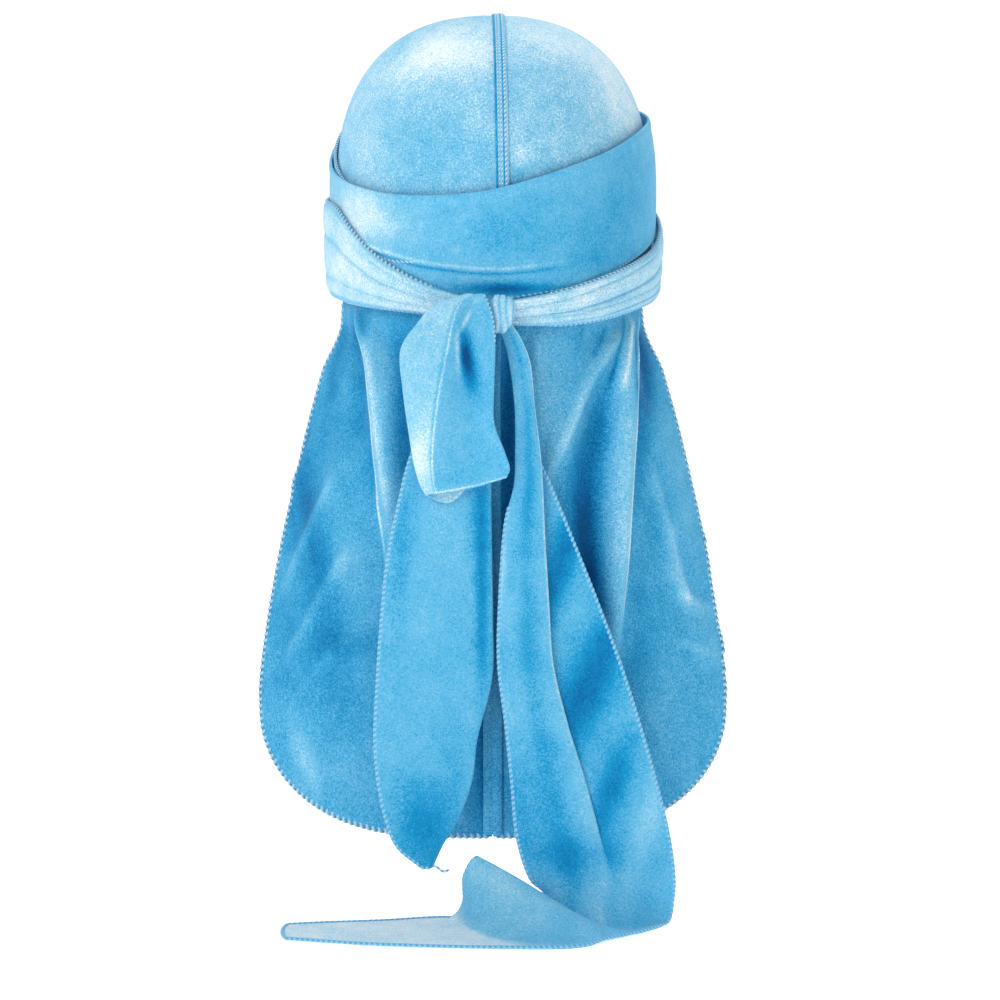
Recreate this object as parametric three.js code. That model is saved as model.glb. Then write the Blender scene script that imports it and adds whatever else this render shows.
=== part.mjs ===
// A velvet durag, tied as it is worn and seen from behind.
//
// Millimetres. +Z is up, +Y is the way the wearer faces and +X is the wearer's right.
// The origin is the crown of the head, on the inside of the cap.
// An azimuth turns about Z from the back of the head (0) over the wearer's right (90)
// to the brow (180). A level is a depth below the crown.
//
// Every piece of cloth is one closed sheet: a surface through the middle of the cloth,
// given half the thickness of the cloth to each side. The layers of cloth on the head
// lie at lifts above the head, one cloth and one small gap apart.

import * as THREE from "three";

// The head that the cap is shaped on
const HEAD_WIDTH = 152;
const HEAD_LENGTH = 190;
const CROWN_HEIGHT = 85;
const HEAD_ROUNDNESS = 2.42;
const NAPE_LEVEL = 150;
const NAPE_TAPER = 0.035;

// The cloth
const CLOTH = 1.3;
const LAYER_GAP = 0.5;
const EDGE_GAP = 0.5;
const SEAM_WIDTH = 8;
const SEAM_RIDGE = 0.6;
const FOREHEAD_BAND = 14;

// The ties
const TIE_WIDTH = 90;
const BAND_PLEAT = 1.6;
const PLEAT_PLACE = 0.66;
const PLEAT_FLANK = 0.12;
const PLEAT_EASE = 24;
const RIDGE_START = 250;
const RIDGE_EASE = 40;
const WRAP_STEP = 12;
const WRAP_START = -120;
const WRAP_COLUMNS = 8;
const LEFT_RETURN_LAYER = 3;
const RIGHT_RETURN_LAYER = 3.5;
const OVERTAKE_TURN = 204;
const OVERTAKE_SPAN = 12;

// The knot and what hangs from it
const KNOT_RISE = 8;
const KNOT_WIDTH = 13;
const KNOT_HEIGHT = 18;
const KNOT_DEPTH = 12;
const KNOT_OFFSET = 3.5;
const KNOT_TILT = 18;
const FLOOR_LEVEL = 432;
const LEFT_TAIL_LENGTH = 252;
const TAIL_FOLD = 4.6;
const LOOP_LENGTH = 96;
const LOOP_FOLD = 12;
const HANG_GAP = 0.9;

// The cape
const CAPE_DROP = 241;
const CAPE_HALF_WIDTH = 113;
const CAPE_CORNER_WIDTH = 84;
const CAPE_CORNER_HEIGHT = 64;
const CAPE_ANGLE = 76;
const CAPE_TOP_BLEND = 0.16;
const FOLD_DEPTH = 9;

const HALF_WIDTH = HEAD_WIDTH / 2;
const HALF_LENGTH = HEAD_LENGTH / 2;
const KNOT_LEVEL = NAPE_LEVEL - KNOT_RISE;
const TAIL_TOP = KNOT_LEVEL + KNOT_HEIGHT / 2 + EDGE_GAP / 2;
const TAIL_DROP = FLOOR_LEVEL - TAIL_TOP;

// The lower hem of the cap: its level as a share of the nape level.
const CAP_HEM = [
  { azimuth: 0, level: 1.0 },
  { azimuth: 36, level: 0.99 },
  { azimuth: 72, level: 0.955 },
  { azimuth: 96, level: 0.82 },
  { azimuth: 120, level: 0.61 },
  { azimuth: 150, level: 0.46 },
  { azimuth: 180, level: 0.41 },
];

// Each tie runs from its own temple round the back to the brow. The turn counts from the
// back of the head. Levels are shares of the nape level, widths shares of the tie's width.
// The left tie lies under the right one, and shows over it only near its temple.
const LEFT_START = [
  { turn: -126, middle: 0.44, width: 0.5 },
  { turn: -100, middle: 0.52, width: 0.5 },
  { turn: -78, middle: 0.61, width: 0.44 },
  { turn: -60, middle: 0.68, width: 0.42 },
  { turn: -34, middle: 0.74, width: 0.46 },
  { turn: 0, middle: 0.745, width: 0.52 },
];
const RIGHT_START = [
  { turn: -126, middle: 0.44, width: 0.54 },
  { turn: -73, middle: 0.547, width: 0.62 },
  { turn: -34, middle: 0.663, width: 0.63 },
  { turn: 0, middle: 0.735, width: 0.568 },
  { turn: 22, middle: 0.748, width: 0.55 },
];
const CROSS = [
  { turn: 45, middle: 0.73, width: 0.54 },
  { turn: 75, middle: 0.66, width: 0.52 },
  { turn: 96, middle: 0.58, width: 0.5 },
  { turn: 120, middle: 0.43, width: 0.42 },
  { turn: 150, middle: 0.313, width: 0.32 },
  { turn: 180, middle: 0.413, width: 0.36 },
  { turn: 210, middle: 0.533, width: 0.31 },
];

// From the brow each tie goes back along its own side, narrowing to the knot, so here the
// levels are shares of the knot's level.
const LEFT_RETURN = [
  { turn: 240, middle: 0.685, width: 0.36 },
  { turn: 262, middle: 0.76, width: 0.44 },
  { turn: 280, middle: 0.79, width: 0.49 },
  { turn: 294, middle: 0.81, width: 0.48 },
  { turn: 306, middle: 0.856, width: 0.38 },
  { turn: 318, middle: 0.9, width: 0.27 },
  { turn: 337, middle: 0.953, width: 0.15 },
  { turn: 356, middle: 0.992, width: 0.09 },
];
const RIGHT_RETURN = [
  { turn: 240, middle: 0.72, width: 0.38 },
  { turn: 262, middle: 0.8, width: 0.36 },
  { turn: 275, middle: 0.84, width: 0.34 },
  { turn: 287, middle: 0.88, width: 0.285 },
  { turn: 302, middle: 0.913, width: 0.25 },
  { turn: 322, middle: 0.958, width: 0.215 },
  { turn: 338, middle: 0.985, width: 0.17 },
  { turn: 356, middle: 1.0, width: 0.115 },
];

// The cape's plan at several drops: its half width as a share of the cape's, and how far
// its side hems and its middle lie behind the ears, as shares of the head's half length.
const CAPE_PLAN = [
  { drop: 0, half: 0.66, side: 0.27, middle: 0.98 },
  { drop: 0.1, half: 0.735, side: 0.31, middle: 0.995 },
  { drop: 0.27, half: 0.828, side: 0.38, middle: 1.0 },
  { drop: 0.51, half: 0.935, side: 0.45, middle: 0.985 },
  { drop: 0.74, half: 1.0, side: 0.5, middle: 0.965 },
  { drop: 1.0, half: 1.0, side: 0.5, middle: 0.955 },
];

// The cape's folds, each from a start to an end. Across is a share of the half width, down
// a share of the drop, left and right are the two flanks, and height is negative in a valley.
const CAPE_FOLDS = [
  { across: -0.505, down: -0.02, acrossEnd: -0.355, downEnd: 0.55, left: 0.045, right: 0.06, height: 0.5 },
  { across: -0.58, down: 0.0, acrossEnd: -0.56, downEnd: 0.26, left: 0.05, right: 0.045, height: -0.4 },
  { across: -0.43, down: 0.0, acrossEnd: -0.4, downEnd: 0.3, left: 0.045, right: 0.045, height: 0.3 },
  { across: -0.35, down: 0.0, acrossEnd: -0.32, downEnd: 0.35, left: 0.045, right: 0.07, height: -0.5 },
  { across: -0.57, down: 0.22, acrossEnd: -0.84, downEnd: 0.6, left: 0.08, right: 0.07, height: 0.4 },
  { across: -0.5, down: 0.33, acrossEnd: -0.74, downEnd: 0.62, left: 0.07, right: 0.07, height: 0.3 },
  { across: -0.86, down: 0.66, acrossEnd: -0.46, downEnd: 0.62, left: 0.08, right: 0.08, height: 0.35 },
  { across: 0.55, down: 0.0, acrossEnd: 0.48, downEnd: 0.68, left: 0.08, right: 0.045, height: 0.8 },
  { across: 0.49, down: 0.0, acrossEnd: 0.26, downEnd: 0.26, left: 0.055, right: 0.055, height: 0.5 },
  { across: 0.45, down: 0.12, acrossEnd: 0.4, downEnd: 0.68, left: 0.09, right: 0.055, height: -0.65 },
  { across: 0.66, down: 0.18, acrossEnd: 0.86, downEnd: 0.5, left: 0.07, right: 0.07, height: 0.3 },
  { across: 0.84, down: 0.6, acrossEnd: 0.95, downEnd: 0.68, left: 0.06, right: 0.06, height: 0.25 },
  { across: 0.16, down: 0.0, acrossEnd: 0.21, downEnd: 0.22, left: 0.05, right: 0.05, height: 0.3 },
  { across: 0.06, down: 0.08, acrossEnd: 0.1, downEnd: 0.75, left: 0.06, right: 0.06, height: -0.35 },
];

// The left tail at several drops. The drop is a share of its length and the rest are shares
// of the tie's width: its two edges, and the strip that is folded under at its right edge.
const LEFT_TAIL = [
  { drop: 0, left: -0.06, right: 0.005, under: 0.045, bulge: 0.3 },
  { drop: 0.104, left: -0.246, right: -0.018, under: 0.1, bulge: 0.7 },
  { drop: 0.225, left: -0.418, right: -0.013, under: 0.15, bulge: 1.0 },
  { drop: 0.309, left: -0.481, right: -0.013, under: 0.18, bulge: 1.0 },
  { drop: 0.421, left: -0.544, right: -0.008, under: 0.2, bulge: 0.9 },
  { drop: 0.533, left: -0.577, right: -0.003, under: 0.2, bulge: 0.8 },
  { drop: 0.64, left: -0.598, right: -0.006, under: 0.15, bulge: 0.6 },
  { drop: 0.76, left: -0.613, right: -0.087, under: 0.06, bulge: 0.5 },
  { drop: 0.834, left: -0.598, right: -0.113, under: 0.05, bulge: 0.4 },
  { drop: 0.905, left: -0.56, right: -0.18, under: 0.05, bulge: 0.3 },
  { drop: 0.96, left: -0.5, right: -0.27, under: 0.04, bulge: 0.2 },
  { drop: 1.0, left: -0.37, right: -0.32, under: 0.02, bulge: 0.1 },
];

// The hanging part of the right tail, folded in a Z: a front layer from its left hem to the
// ridge, a hidden layer that runs back from the ridge by the tuck, and a back layer out to
// the right hem. The drop is a share of the way to the floor, the rest shares of the tie's
// width, and fold is the share of the fold's full depth.
const RIGHT_TAIL = [
  { drop: 0, left: 0.05, ridge: 0.13, right: 0.11, tuck: 0.03, fold: 0.8 },
  { drop: 0.045, left: 0.09, ridge: 0.187, right: 0.165, tuck: 0.05, fold: 0.9 },
  { drop: 0.12, left: 0.12, ridge: 0.213, right: 0.19, tuck: 0.06, fold: 1.0 },
  { drop: 0.2, left: 0.123, ridge: 0.243, right: 0.225, tuck: 0.08, fold: 1.0 },
  { drop: 0.25, left: 0.117, ridge: 0.255, right: 0.293, tuck: 0.1, fold: 1.0 },
  { drop: 0.315, left: 0.07, ridge: 0.264, right: 0.377, tuck: 0.12, fold: 1.0 },
  { drop: 0.45, left: 0.039, ridge: 0.289, right: 0.545, tuck: 0.13, fold: 1.0 },
  { drop: 0.55, left: 0.034, ridge: 0.311, right: 0.661, tuck: 0.12, fold: 1.0 },
  { drop: 0.65, left: 0.07, ridge: 0.384, right: 0.761, tuck: 0.09, fold: 0.9 },
  { drop: 0.75, left: 0.102, ridge: 0.48, right: 0.851, tuck: 0.05, fold: 0.7 },
  { drop: 0.85, left: 0.133, ridge: 0.56, right: 0.926, tuck: 0.0, fold: 0.5 },
  { drop: 0.92, left: 0.205, ridge: 0.6, right: 0.953, tuck: -0.06, fold: 0.3 },
];

// The rest of the right tail turns on the floor, rises in one wave and lies flat to its tip.
// Each row is a section: its left, middle and right points as [across, forward, up], in
// shares of the tie's width, forward being away from the head.
const FLOOR_TAIL = [
  { left: [0.275, 0.0, 0.165], middle: [0.54, 0.07, 0.1], right: [0.95, -0.05, 0.12] },
  { left: [0.21, -0.03, 0.05], middle: [0.55, 0.13, 0.025], right: [0.93, -0.03, 0.02] },
  { left: [0.1, -0.04, 0.02], middle: [0.44, 0.18, 0.0], right: [0.82, 0.13, 0.0] },
  { left: [-0.078, 0.02, 0.36], middle: [0.21, 0.12, 0.21], right: [0.565, 0.41, 0.01] },
  { left: [-0.146, 0.03, 0.27], middle: [0.09, 0.23, 0.09], right: [0.5, 0.49, 0.0] },
  { left: [-0.155, -0.02, 0.11], middle: [0.0, 0.31, 0.01], right: [0.4, 0.55, 0.0] },
  { left: [-0.232, -0.14, 0.0], middle: [-0.12, 0.24, 0.0], right: [0.01, 0.57, 0.0] },
  { left: [-0.59, -0.06, 0.0], middle: [-0.59, 0.22, 0.0], right: [-0.59, 0.5, 0.0] },
  { left: [-0.9, -0.01, 0.0], middle: [-0.9, 0.2, 0.0], right: [-0.89, 0.42, 0.0] },
  { left: [-1.08, 0.03, 0.0], middle: [-1.095, 0.19, 0.0], right: [-1.07, 0.36, 0.0] },
];

// The half bow at several drops, as shares of its length. Its front layer runs from the
// fold at its left over a crease and a dent to its right edge. The back layer reaches from
// the fold to back. Forward is the front layer's share of the loop's depth.
const LOOP = [
  { drop: 0, left: -0.17, crease: -0.14, dent: -0.11, right: -0.085, back: -0.1, forward: 0.3 },
  { drop: 0.055, left: -0.342, crease: -0.215, dent: -0.13, right: -0.06, back: -0.1, forward: 0.6 },
  { drop: 0.14, left: -0.42, crease: -0.247, dent: -0.14, right: -0.032, back: -0.11, forward: 0.85 },
  { drop: 0.26, left: -0.505, crease: -0.272, dent: -0.148, right: -0.024, back: -0.13, forward: 1.0 },
  { drop: 0.46, left: -0.495, crease: -0.314, dent: -0.142, right: -0.03, back: -0.13, forward: 1.0 },
  { drop: 0.64, left: -0.468, crease: -0.341, dent: -0.14, right: -0.02, back: -0.13, forward: 0.9 },
  { drop: 0.8, left: -0.438, crease: -0.352, dent: -0.135, right: 0.035, back: -0.12, forward: 0.7 },
  { drop: 0.94, left: -0.38, crease: -0.33, dent: -0.125, right: 0.04, back: -0.13, forward: 0.4 },
];

// Where the half bow ends at each of its knees, from the back layer round to the right
// edge, as a share of its last drop: the back hangs lowest and the right corner is round.
const LOOP_END = [0.95, 1.065, 1.02, 1.01, 1.0, 0.965, 0.9];

const clamp = (t) => Math.min(Math.max(t, 0), 1);
const mix = (a, b, t) => a + (b - a) * t;
const smooth = (t) => clamp(t) ** 2 * (3 - 2 * clamp(t));
const radians = (degrees) => (degrees * Math.PI) / 180;

// Smooth value of one column of a table whose rows are in the order of another column.
function read(table, place, column, at) {
  const last = table.length - 1;
  let row = 0;
  while (row < last - 1 && table[row + 1][place] < at) row += 1;
  const slope = (k) => {
    const before = table[Math.max(k - 1, 0)];
    const after = table[Math.min(k + 1, last)];
    return (after[column] - before[column]) / (after[place] - before[place]);
  };
  const from = table[row];
  const to = table[row + 1];
  const span = to[place] - from[place];
  const t = clamp((at - from[place]) / span);
  const eased = t * t * (3 - 2 * t);
  const bend = span * t * (1 - t) * (slope(row) * (1 - t) - slope(row + 1) * t);
  return mix(from[column], to[column], eased) + bend;
}

// Share of the head's full plan size at a level.
function girth(level) {
  if (level < CROWN_HEIGHT) {
    const rise = 1 - level / CROWN_HEIGHT;
    return (1 - rise ** HEAD_ROUNDNESS) ** (1 / HEAD_ROUNDNESS);
  }
  const down = (level - CROWN_HEIGHT) / (NAPE_LEVEL - CROWN_HEIGHT);
  return 1 - NAPE_TAPER * down ** 2;
}

// Direction straight out of the head.
function headNormal(azimuth, level) {
  const size = girth(level);
  const east = Math.sin(radians(azimuth)) / HALF_WIDTH;
  const south = -Math.cos(radians(azimuth)) / HALF_LENGTH;
  let up = 0;
  if (level < CROWN_HEIGHT) {
    up = (1 - level / CROWN_HEIGHT) ** (HEAD_ROUNDNESS - 1) / CROWN_HEIGHT;
  }
  const pull = size ** (HEAD_ROUNDNESS - 1);
  return new THREE.Vector3(east * pull, south * pull, up).normalize();
}

// Point at a lift above the head.
function headPoint(azimuth, level, lift) {
  const size = girth(level);
  const x = HALF_WIDTH * size * Math.sin(radians(azimuth));
  const y = -HALF_LENGTH * size * Math.cos(radians(azimuth));
  return new THREE.Vector3(x, y, -level).addScaledVector(headNormal(azimuth, level), lift);
}

// Lift of the middle of a layer of cloth: 0 is the cap, then one more for each wrap.
const layerLift = (layer) => CLOTH / 2 + layer * (CLOTH + LAYER_GAP);
const capHemLevel = (azimuth) => NAPE_LEVEL * read(CAP_HEM, "azimuth", "level", Math.abs(azimuth));

// Depths from the head outwards, as y of the middle of each hanging layer.
const returnFace = layerLift(RIGHT_RETURN_LAYER) + CLOTH / 2 + BAND_PLEAT;
const knotBack = headPoint(0, KNOT_LEVEL, returnFace).y;
const knotMiddle = knotBack - KNOT_DEPTH / 2;
const tailBack = knotBack - CLOTH;
const tailFront = tailBack - TAIL_FOLD;
const loopBack = tailFront - CLOTH - HANG_GAP;
const loopFront = loopBack - LOOP_FOLD;

// A closed sheet round a surface given by (u, v), both running from 0 to 1.
function clothSheet(surface, columns, rows) {
  const middle = [];
  for (let j = 0; j <= rows; j += 1) {
    const row = [];
    for (let i = 0; i <= columns; i += 1) row.push(surface(i / columns, j / rows));
    middle.push(row);
  }

  const normalAt = (i, j) => {
    const along = middle[j][Math.min(i + 1, columns)].clone();
    along.sub(middle[j][Math.max(i - 1, 0)]);
    const down = middle[Math.min(j + 1, rows)][i].clone();
    down.sub(middle[Math.max(j - 1, 0)][i]);
    return along.cross(down);
  };
  const normals = middle.map((row, j) => row.map((point, i) => normalAt(i, j)));

  // A row that shrinks to a point takes the mean direction of the row beside it.
  const faceless = (row) => row.every((normal) => normal.length() < 1e-6);
  if (faceless(normals[0])) {
    const mean = new THREE.Vector3();
    normals[1].forEach((normal) => mean.add(normal.clone().normalize()));
    normals[0] = normals[0].map(() => mean.clone());
  }

  const positions = [];
  const numbers = new Map();
  const vertex = (point) => {
    const key = point.toArray().map((value) => Math.round(value * 1e4)).join();
    if (!numbers.has(key)) {
      numbers.set(key, positions.length / 3);
      positions.push(point.x, point.y, point.z);
    }
    return numbers.get(key);
  };
  const face = (i, j, side) => {
    const normal = normals[j][i].clone().normalize();
    return vertex(middle[j][i].clone().addScaledVector(normal, (side * CLOTH) / 2));
  };

  const index = [];
  const triangle = (a, b, c) => {
    if (a !== b && b !== c && c !== a) index.push(a, b, c);
  };
  const quad = (a, b, c, d) => {
    triangle(a, b, c);
    triangle(a, c, d);
  };
  for (let j = 0; j < rows; j += 1) {
    for (let i = 0; i < columns; i += 1) {
      quad(face(i, j, 1), face(i + 1, j, 1), face(i + 1, j + 1, 1), face(i, j + 1, 1));
      quad(face(i, j, -1), face(i, j + 1, -1), face(i + 1, j + 1, -1), face(i + 1, j, -1));
    }
  }
  for (let i = 0; i < columns; i += 1) {
    quad(face(i, 0, 1), face(i, 0, -1), face(i + 1, 0, -1), face(i + 1, 0, 1));
    quad(face(i + 1, rows, 1), face(i + 1, rows, -1), face(i, rows, -1), face(i, rows, 1));
  }
  for (let j = 0; j < rows; j += 1) {
    quad(face(0, j + 1, 1), face(0, j + 1, -1), face(0, j, -1), face(0, j, 1));
    quad(face(columns, j, 1), face(columns, j, -1), face(columns, j + 1, -1), face(columns, j + 1, 1));
  }

  const geometry = new THREE.BufferGeometry();
  geometry.setAttribute("position", new THREE.Float32BufferAttribute(positions, 3));
  geometry.setIndex(index);
  return geometry;
}

// Smooth surface through rows of points, with as many points in each row.
function surfaceThrough(rows) {
  const curves = rows[0].map((point, k) => {
    const points = rows.map((row) => row[k]);
    return new THREE.CatmullRomCurve3(points, false, "centripetal");
  });
  return (u, v) => {
    const knees = curves.map((curve) => curve.getPoint(v));
    return new THREE.CatmullRomCurve3(knees, false, "centripetal").getPoint(u);
  };
}

// The cap is two panels that meet along the middle of the head.
function capPanel(side) {
  const surface = (u, v) => {
    const azimuth = side * 180 * u;
    const level = capHemLevel(azimuth) * v ** 1.8;
    const point = headPoint(azimuth, level, layerLift(0));
    point.x = side * EDGE_GAP + point.x * (1 - EDGE_GAP / HALF_WIDTH);
    return point;
  };
  return clothSheet(surface, 180 / WRAP_STEP, 10);
}

// Middle, width and top edge of a tie at a turn, in millimetres.
function tiePath(startRows, backRows, turn) {
  const inLengths = (reach) => (row) => ({
    turn: row.turn,
    middle: row.middle * reach,
    width: row.width * TIE_WIDTH,
  });
  const table = [
    ...[...startRows, ...CROSS].map(inLengths(NAPE_LEVEL)),
    ...backRows.map(inLengths(KNOT_LEVEL)),
  ];
  const middle = read(table, "turn", "middle", turn);
  const width = read(table, "turn", "width", turn);
  return { middle, width, top: middle - width / 2 };
}

// Cross section of a seam: two stitched ridges, from -1 to 1 across.
const seamRidge = (across) => SEAM_RIDGE * Math.abs(Math.sin(Math.PI * across));

// The raised seam over the cap, from the crossed ties on the brow to those at the back.
function crownSeam() {
  const edgeOf = (turn) => tiePath(RIGHT_START, RIGHT_RETURN, turn).top;
  const browEnd = mix(edgeOf(180), edgeOf(180 - WRAP_STEP), 0.3) - EDGE_GAP;
  const backEnd = mix(edgeOf(0), edgeOf(-WRAP_STEP), 0.3) - EDGE_GAP;
  const surface = (u, v) => {
    const along = mix(-1, 1, v);
    const azimuth = along < 0 ? 180 : 0;
    const end = along < 0 ? browEnd : backEnd;
    const across = mix(-1, 1, u);
    const lift = CLOTH + EDGE_GAP + CLOTH / 2 + seamRidge(across);
    const point = headPoint(azimuth, end * Math.abs(along) ** 1.8, lift);
    point.x = (across * SEAM_WIDTH) / 2;
    return point;
  };
  return clothSheet(surface, 4, 22);
}

// The band sewn to the cap's front hem, from temple to temple.
function foreheadBand() {
  const reach = 180 - 108;
  const surface = (u, v) => {
    const azimuth = mix(180 + reach, 180 - reach, u);
    const hem = capHemLevel(azimuth > 180 ? 360 - azimuth : azimuth);
    return headPoint(azimuth, hem + EDGE_GAP + FOREHEAD_BAND * v, layerLift(0));
  };
  return clothSheet(surface, (2 * reach) / WRAP_STEP, 2);
}

// One tie wrapped round the head. It starts at its own temple, crosses the back and the
// brow, passes over the other tie there, and comes back along its own side to the knot.
function tieWrap(side, layer, returnLayer, startRows, backRows, pleats) {
  const lastTurn = 356;
  const steps = Math.ceil((lastTurn - WRAP_START) / WRAP_STEP);
  const surface = (u, v) => {
    const turn = Math.min(WRAP_START + Math.round(v * steps) * WRAP_STEP, lastTurn);
    const overtaken = smooth((turn - OVERTAKE_TURN) / OVERTAKE_SPAN);
    const path = tiePath(startRows, backRows, turn);
    const pleat = pleats(turn, u) * BAND_PLEAT;
    const lift = mix(layerLift(layer), layerLift(returnLayer), overtaken) + pleat;
    return headPoint(-side * turn, path.top + path.width * u, lift);
  };
  return clothSheet(surface, WRAP_COLUMNS, steps);
}

// Folds along a tie: one long pleat low on the crossing at the back, then several ridges on
// the way to the knot. They fade where another layer lies over them.
function wrapPleats(ridges, pleatStart, pleatEnd) {
  return (turn, u) => {
    const inside = smooth(u * 6) * smooth((1 - u) * 6);
    const gather = smooth((turn - RIDGE_START) / RIDGE_EASE);
    const window = smooth((turn - pleatStart) / PLEAT_EASE) * smooth((pleatEnd - turn) / PLEAT_EASE);
    const pleat = Math.exp(-(((u - PLEAT_PLACE) / PLEAT_FLANK) ** 2));
    return gather * inside * Math.sin(Math.PI * ridges * u) ** 2 + window * pleat;
  };
}

// How far the cape's folds stand out at a point of its plan.
function capeRelief(x, drop) {
  let relief = 0;
  for (const fold of CAPE_FOLDS) {
    const startX = fold.across * CAPE_HALF_WIDTH;
    const startZ = fold.down * CAPE_DROP;
    const runX = fold.acrossEnd * CAPE_HALF_WIDTH - startX;
    const runZ = fold.downEnd * CAPE_DROP - startZ;
    const length = Math.hypot(runX, runZ);
    const along = ((x - startX) * runX + (drop - startZ) * runZ) / length ** 2;
    const off = ((x - startX) * runZ - (drop - startZ) * runX) / length;
    const flank = (off < 0 ? fold.left : fold.right) * CAPE_HALF_WIDTH;
    const ends = smooth((along + 0.12) / 0.24) * smooth((1.15 - along) / 0.4);
    relief += fold.height * ends * Math.exp(-((off / flank) ** 2));
  }
  return relief * FOLD_DEPTH;
}

// How high the bottom hem lies above its lowest point, at a share of the half width.
function capeCornerRise(share) {
  const flat = 1 - CAPE_CORNER_WIDTH / CAPE_HALF_WIDTH;
  const into = clamp((Math.abs(share) - flat) / (1 - flat));
  return CAPE_CORNER_HEIGHT * (1 - (1 - into ** 2.5) ** (1 / 2.5));
}

// Point of the cape. Share runs from -1 at the left side hem to 1 at the right one, and
// down from 0 at the cap's nape hem to 1 at the bottom hem.
function capePoint(share, down) {
  const azimuth = share * CAPE_ANGLE;
  const hem = headPoint(azimuth, capHemLevel(azimuth) + EDGE_GAP, layerLift(0));
  const bottom = NAPE_LEVEL + CAPE_DROP - capeCornerRise(share);
  const level = mix(-hem.z, bottom, down);
  const drop = (level - NAPE_LEVEL) / CAPE_DROP;
  const at = (column) => read(CAPE_PLAN, "drop", column, drop);
  const x = CAPE_HALF_WIDTH * at("half") * share;
  const near = HALF_LENGTH * at("middle");
  const y = -near + (near - HALF_LENGTH * at("side")) * Math.abs(share) ** 2.2;
  const free = smooth(down / CAPE_TOP_BLEND);
  const relief = mix(0.35, 1, free) * capeRelief(x, level - NAPE_LEVEL);
  const outward = radians(share * 55);
  return new THREE.Vector3(
    mix(hem.x, x, free) + relief * Math.sin(outward),
    mix(hem.y, y, free) - relief * Math.cos(outward),
    -level,
  );
}

// The cape is two panels that meet in the middle, with more columns where it is folded.
function capePanel(side) {
  const centre = EDGE_GAP / CAPE_HALF_WIDTH;
  const surface = (u, v) => {
    const share = mix(centre, 1, 0.35 * Math.sin((Math.PI * u) / 2) + 0.65 * u);
    return capePoint(side * share, v);
  };
  return clothSheet(surface, 20, 15);
}

// The seam down the middle of the cape.
function capeSeam() {
  const surface = (u, v) => {
    const across = mix(-1, 1, u);
    const down = mix(0.012, 0.995, v);
    const share = (across * SEAM_WIDTH) / 2 / CAPE_HALF_WIDTH;
    const point = capePoint(share, down);
    point.y -= CLOTH + EDGE_GAP + seamRidge(across);
    return point;
  };
  return clothSheet(surface, 4, 15);
}

// The knot: a short bundle of cloth wrapped round the ends, gathered across its length.
function knot() {
  const geometry = new THREE.SphereGeometry(1, 20, 12);
  const position = geometry.attributes.position;
  const point = new THREE.Vector3();
  for (let i = 0; i < position.count; i += 1) {
    point.fromBufferAttribute(position, i).normalize();
    const boxy = Math.abs(point.x) ** 3 + Math.abs(point.y) ** 3 + Math.abs(point.z) ** 3;
    const gather = 1 - 0.05 * (1 + Math.cos(9 * point.x + 4 * point.z));
    point.multiplyScalar(gather / Math.cbrt(boxy));
    position.setXYZ(i, point.x, point.y, point.z);
  }
  geometry.scale(KNOT_WIDTH / 2, KNOT_DEPTH / 2, KNOT_HEIGHT / 2);
  geometry.rotateY(radians(KNOT_TILT));
  geometry.translate(KNOT_OFFSET, knotMiddle, -KNOT_LEVEL);
  return geometry;
}

// The half bow, hanging in front of the knot: back layer, fold and front layer.
function bowLoop() {
  const top = KNOT_LEVEL - KNOT_HEIGHT / 2;
  const rows = LOOP.map((row) => {
    const out = mix(loopBack, loopFront, row.forward);
    const fold = mix(loopBack, out, 0.45);
    const knees = [
      [row.back, loopBack],
      [mix(row.left, row.back, 0.45), loopBack],
      [row.left, fold],
      [mix(row.left, row.crease, 0.55), mix(fold, out, 0.85)],
      [row.crease, out],
      [row.dent, mix(loopBack, out, 0.35) - CLOTH],
      [row.right, mix(loopBack, out, 0.7)],
    ];
    return knees.map(([share, y], k) => {
      const reach = mix(1, LOOP_END[k], smooth((row.drop - 0.4) / 0.5));
      const z = -(top + row.drop * reach * LOOP_LENGTH);
      return new THREE.Vector3(KNOT_OFFSET + share * TIE_WIDTH, y, z);
    });
  });
  return clothSheet(surfaceThrough(rows), 12, 12);
}

// The left tail, hanging behind the half bow, with its right edge folded under.
function leftTail() {
  const rows = LEFT_TAIL.map((row) => {
    const z = -(TAIL_TOP + row.drop * LEFT_TAIL_LENGTH);
    const knee = (share, y) => new THREE.Vector3(share * TIE_WIDTH, y, z);
    const across = (t) => mix(row.left, row.right, t);
    const bulge = row.bulge * HANG_GAP;
    return [
      knee(row.left, tailFront + 1.2),
      knee(across(0.35), tailFront + 1.2 - bulge),
      knee(across(0.7), tailFront + 0.6),
      knee(row.right, mix(tailFront, tailBack, 0.5)),
      knee(row.right - row.under * 0.5, tailBack),
      knee(row.right - row.under, tailBack),
    ];
  });
  return clothSheet(surfaceThrough(rows), 9, 16);
}

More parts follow.
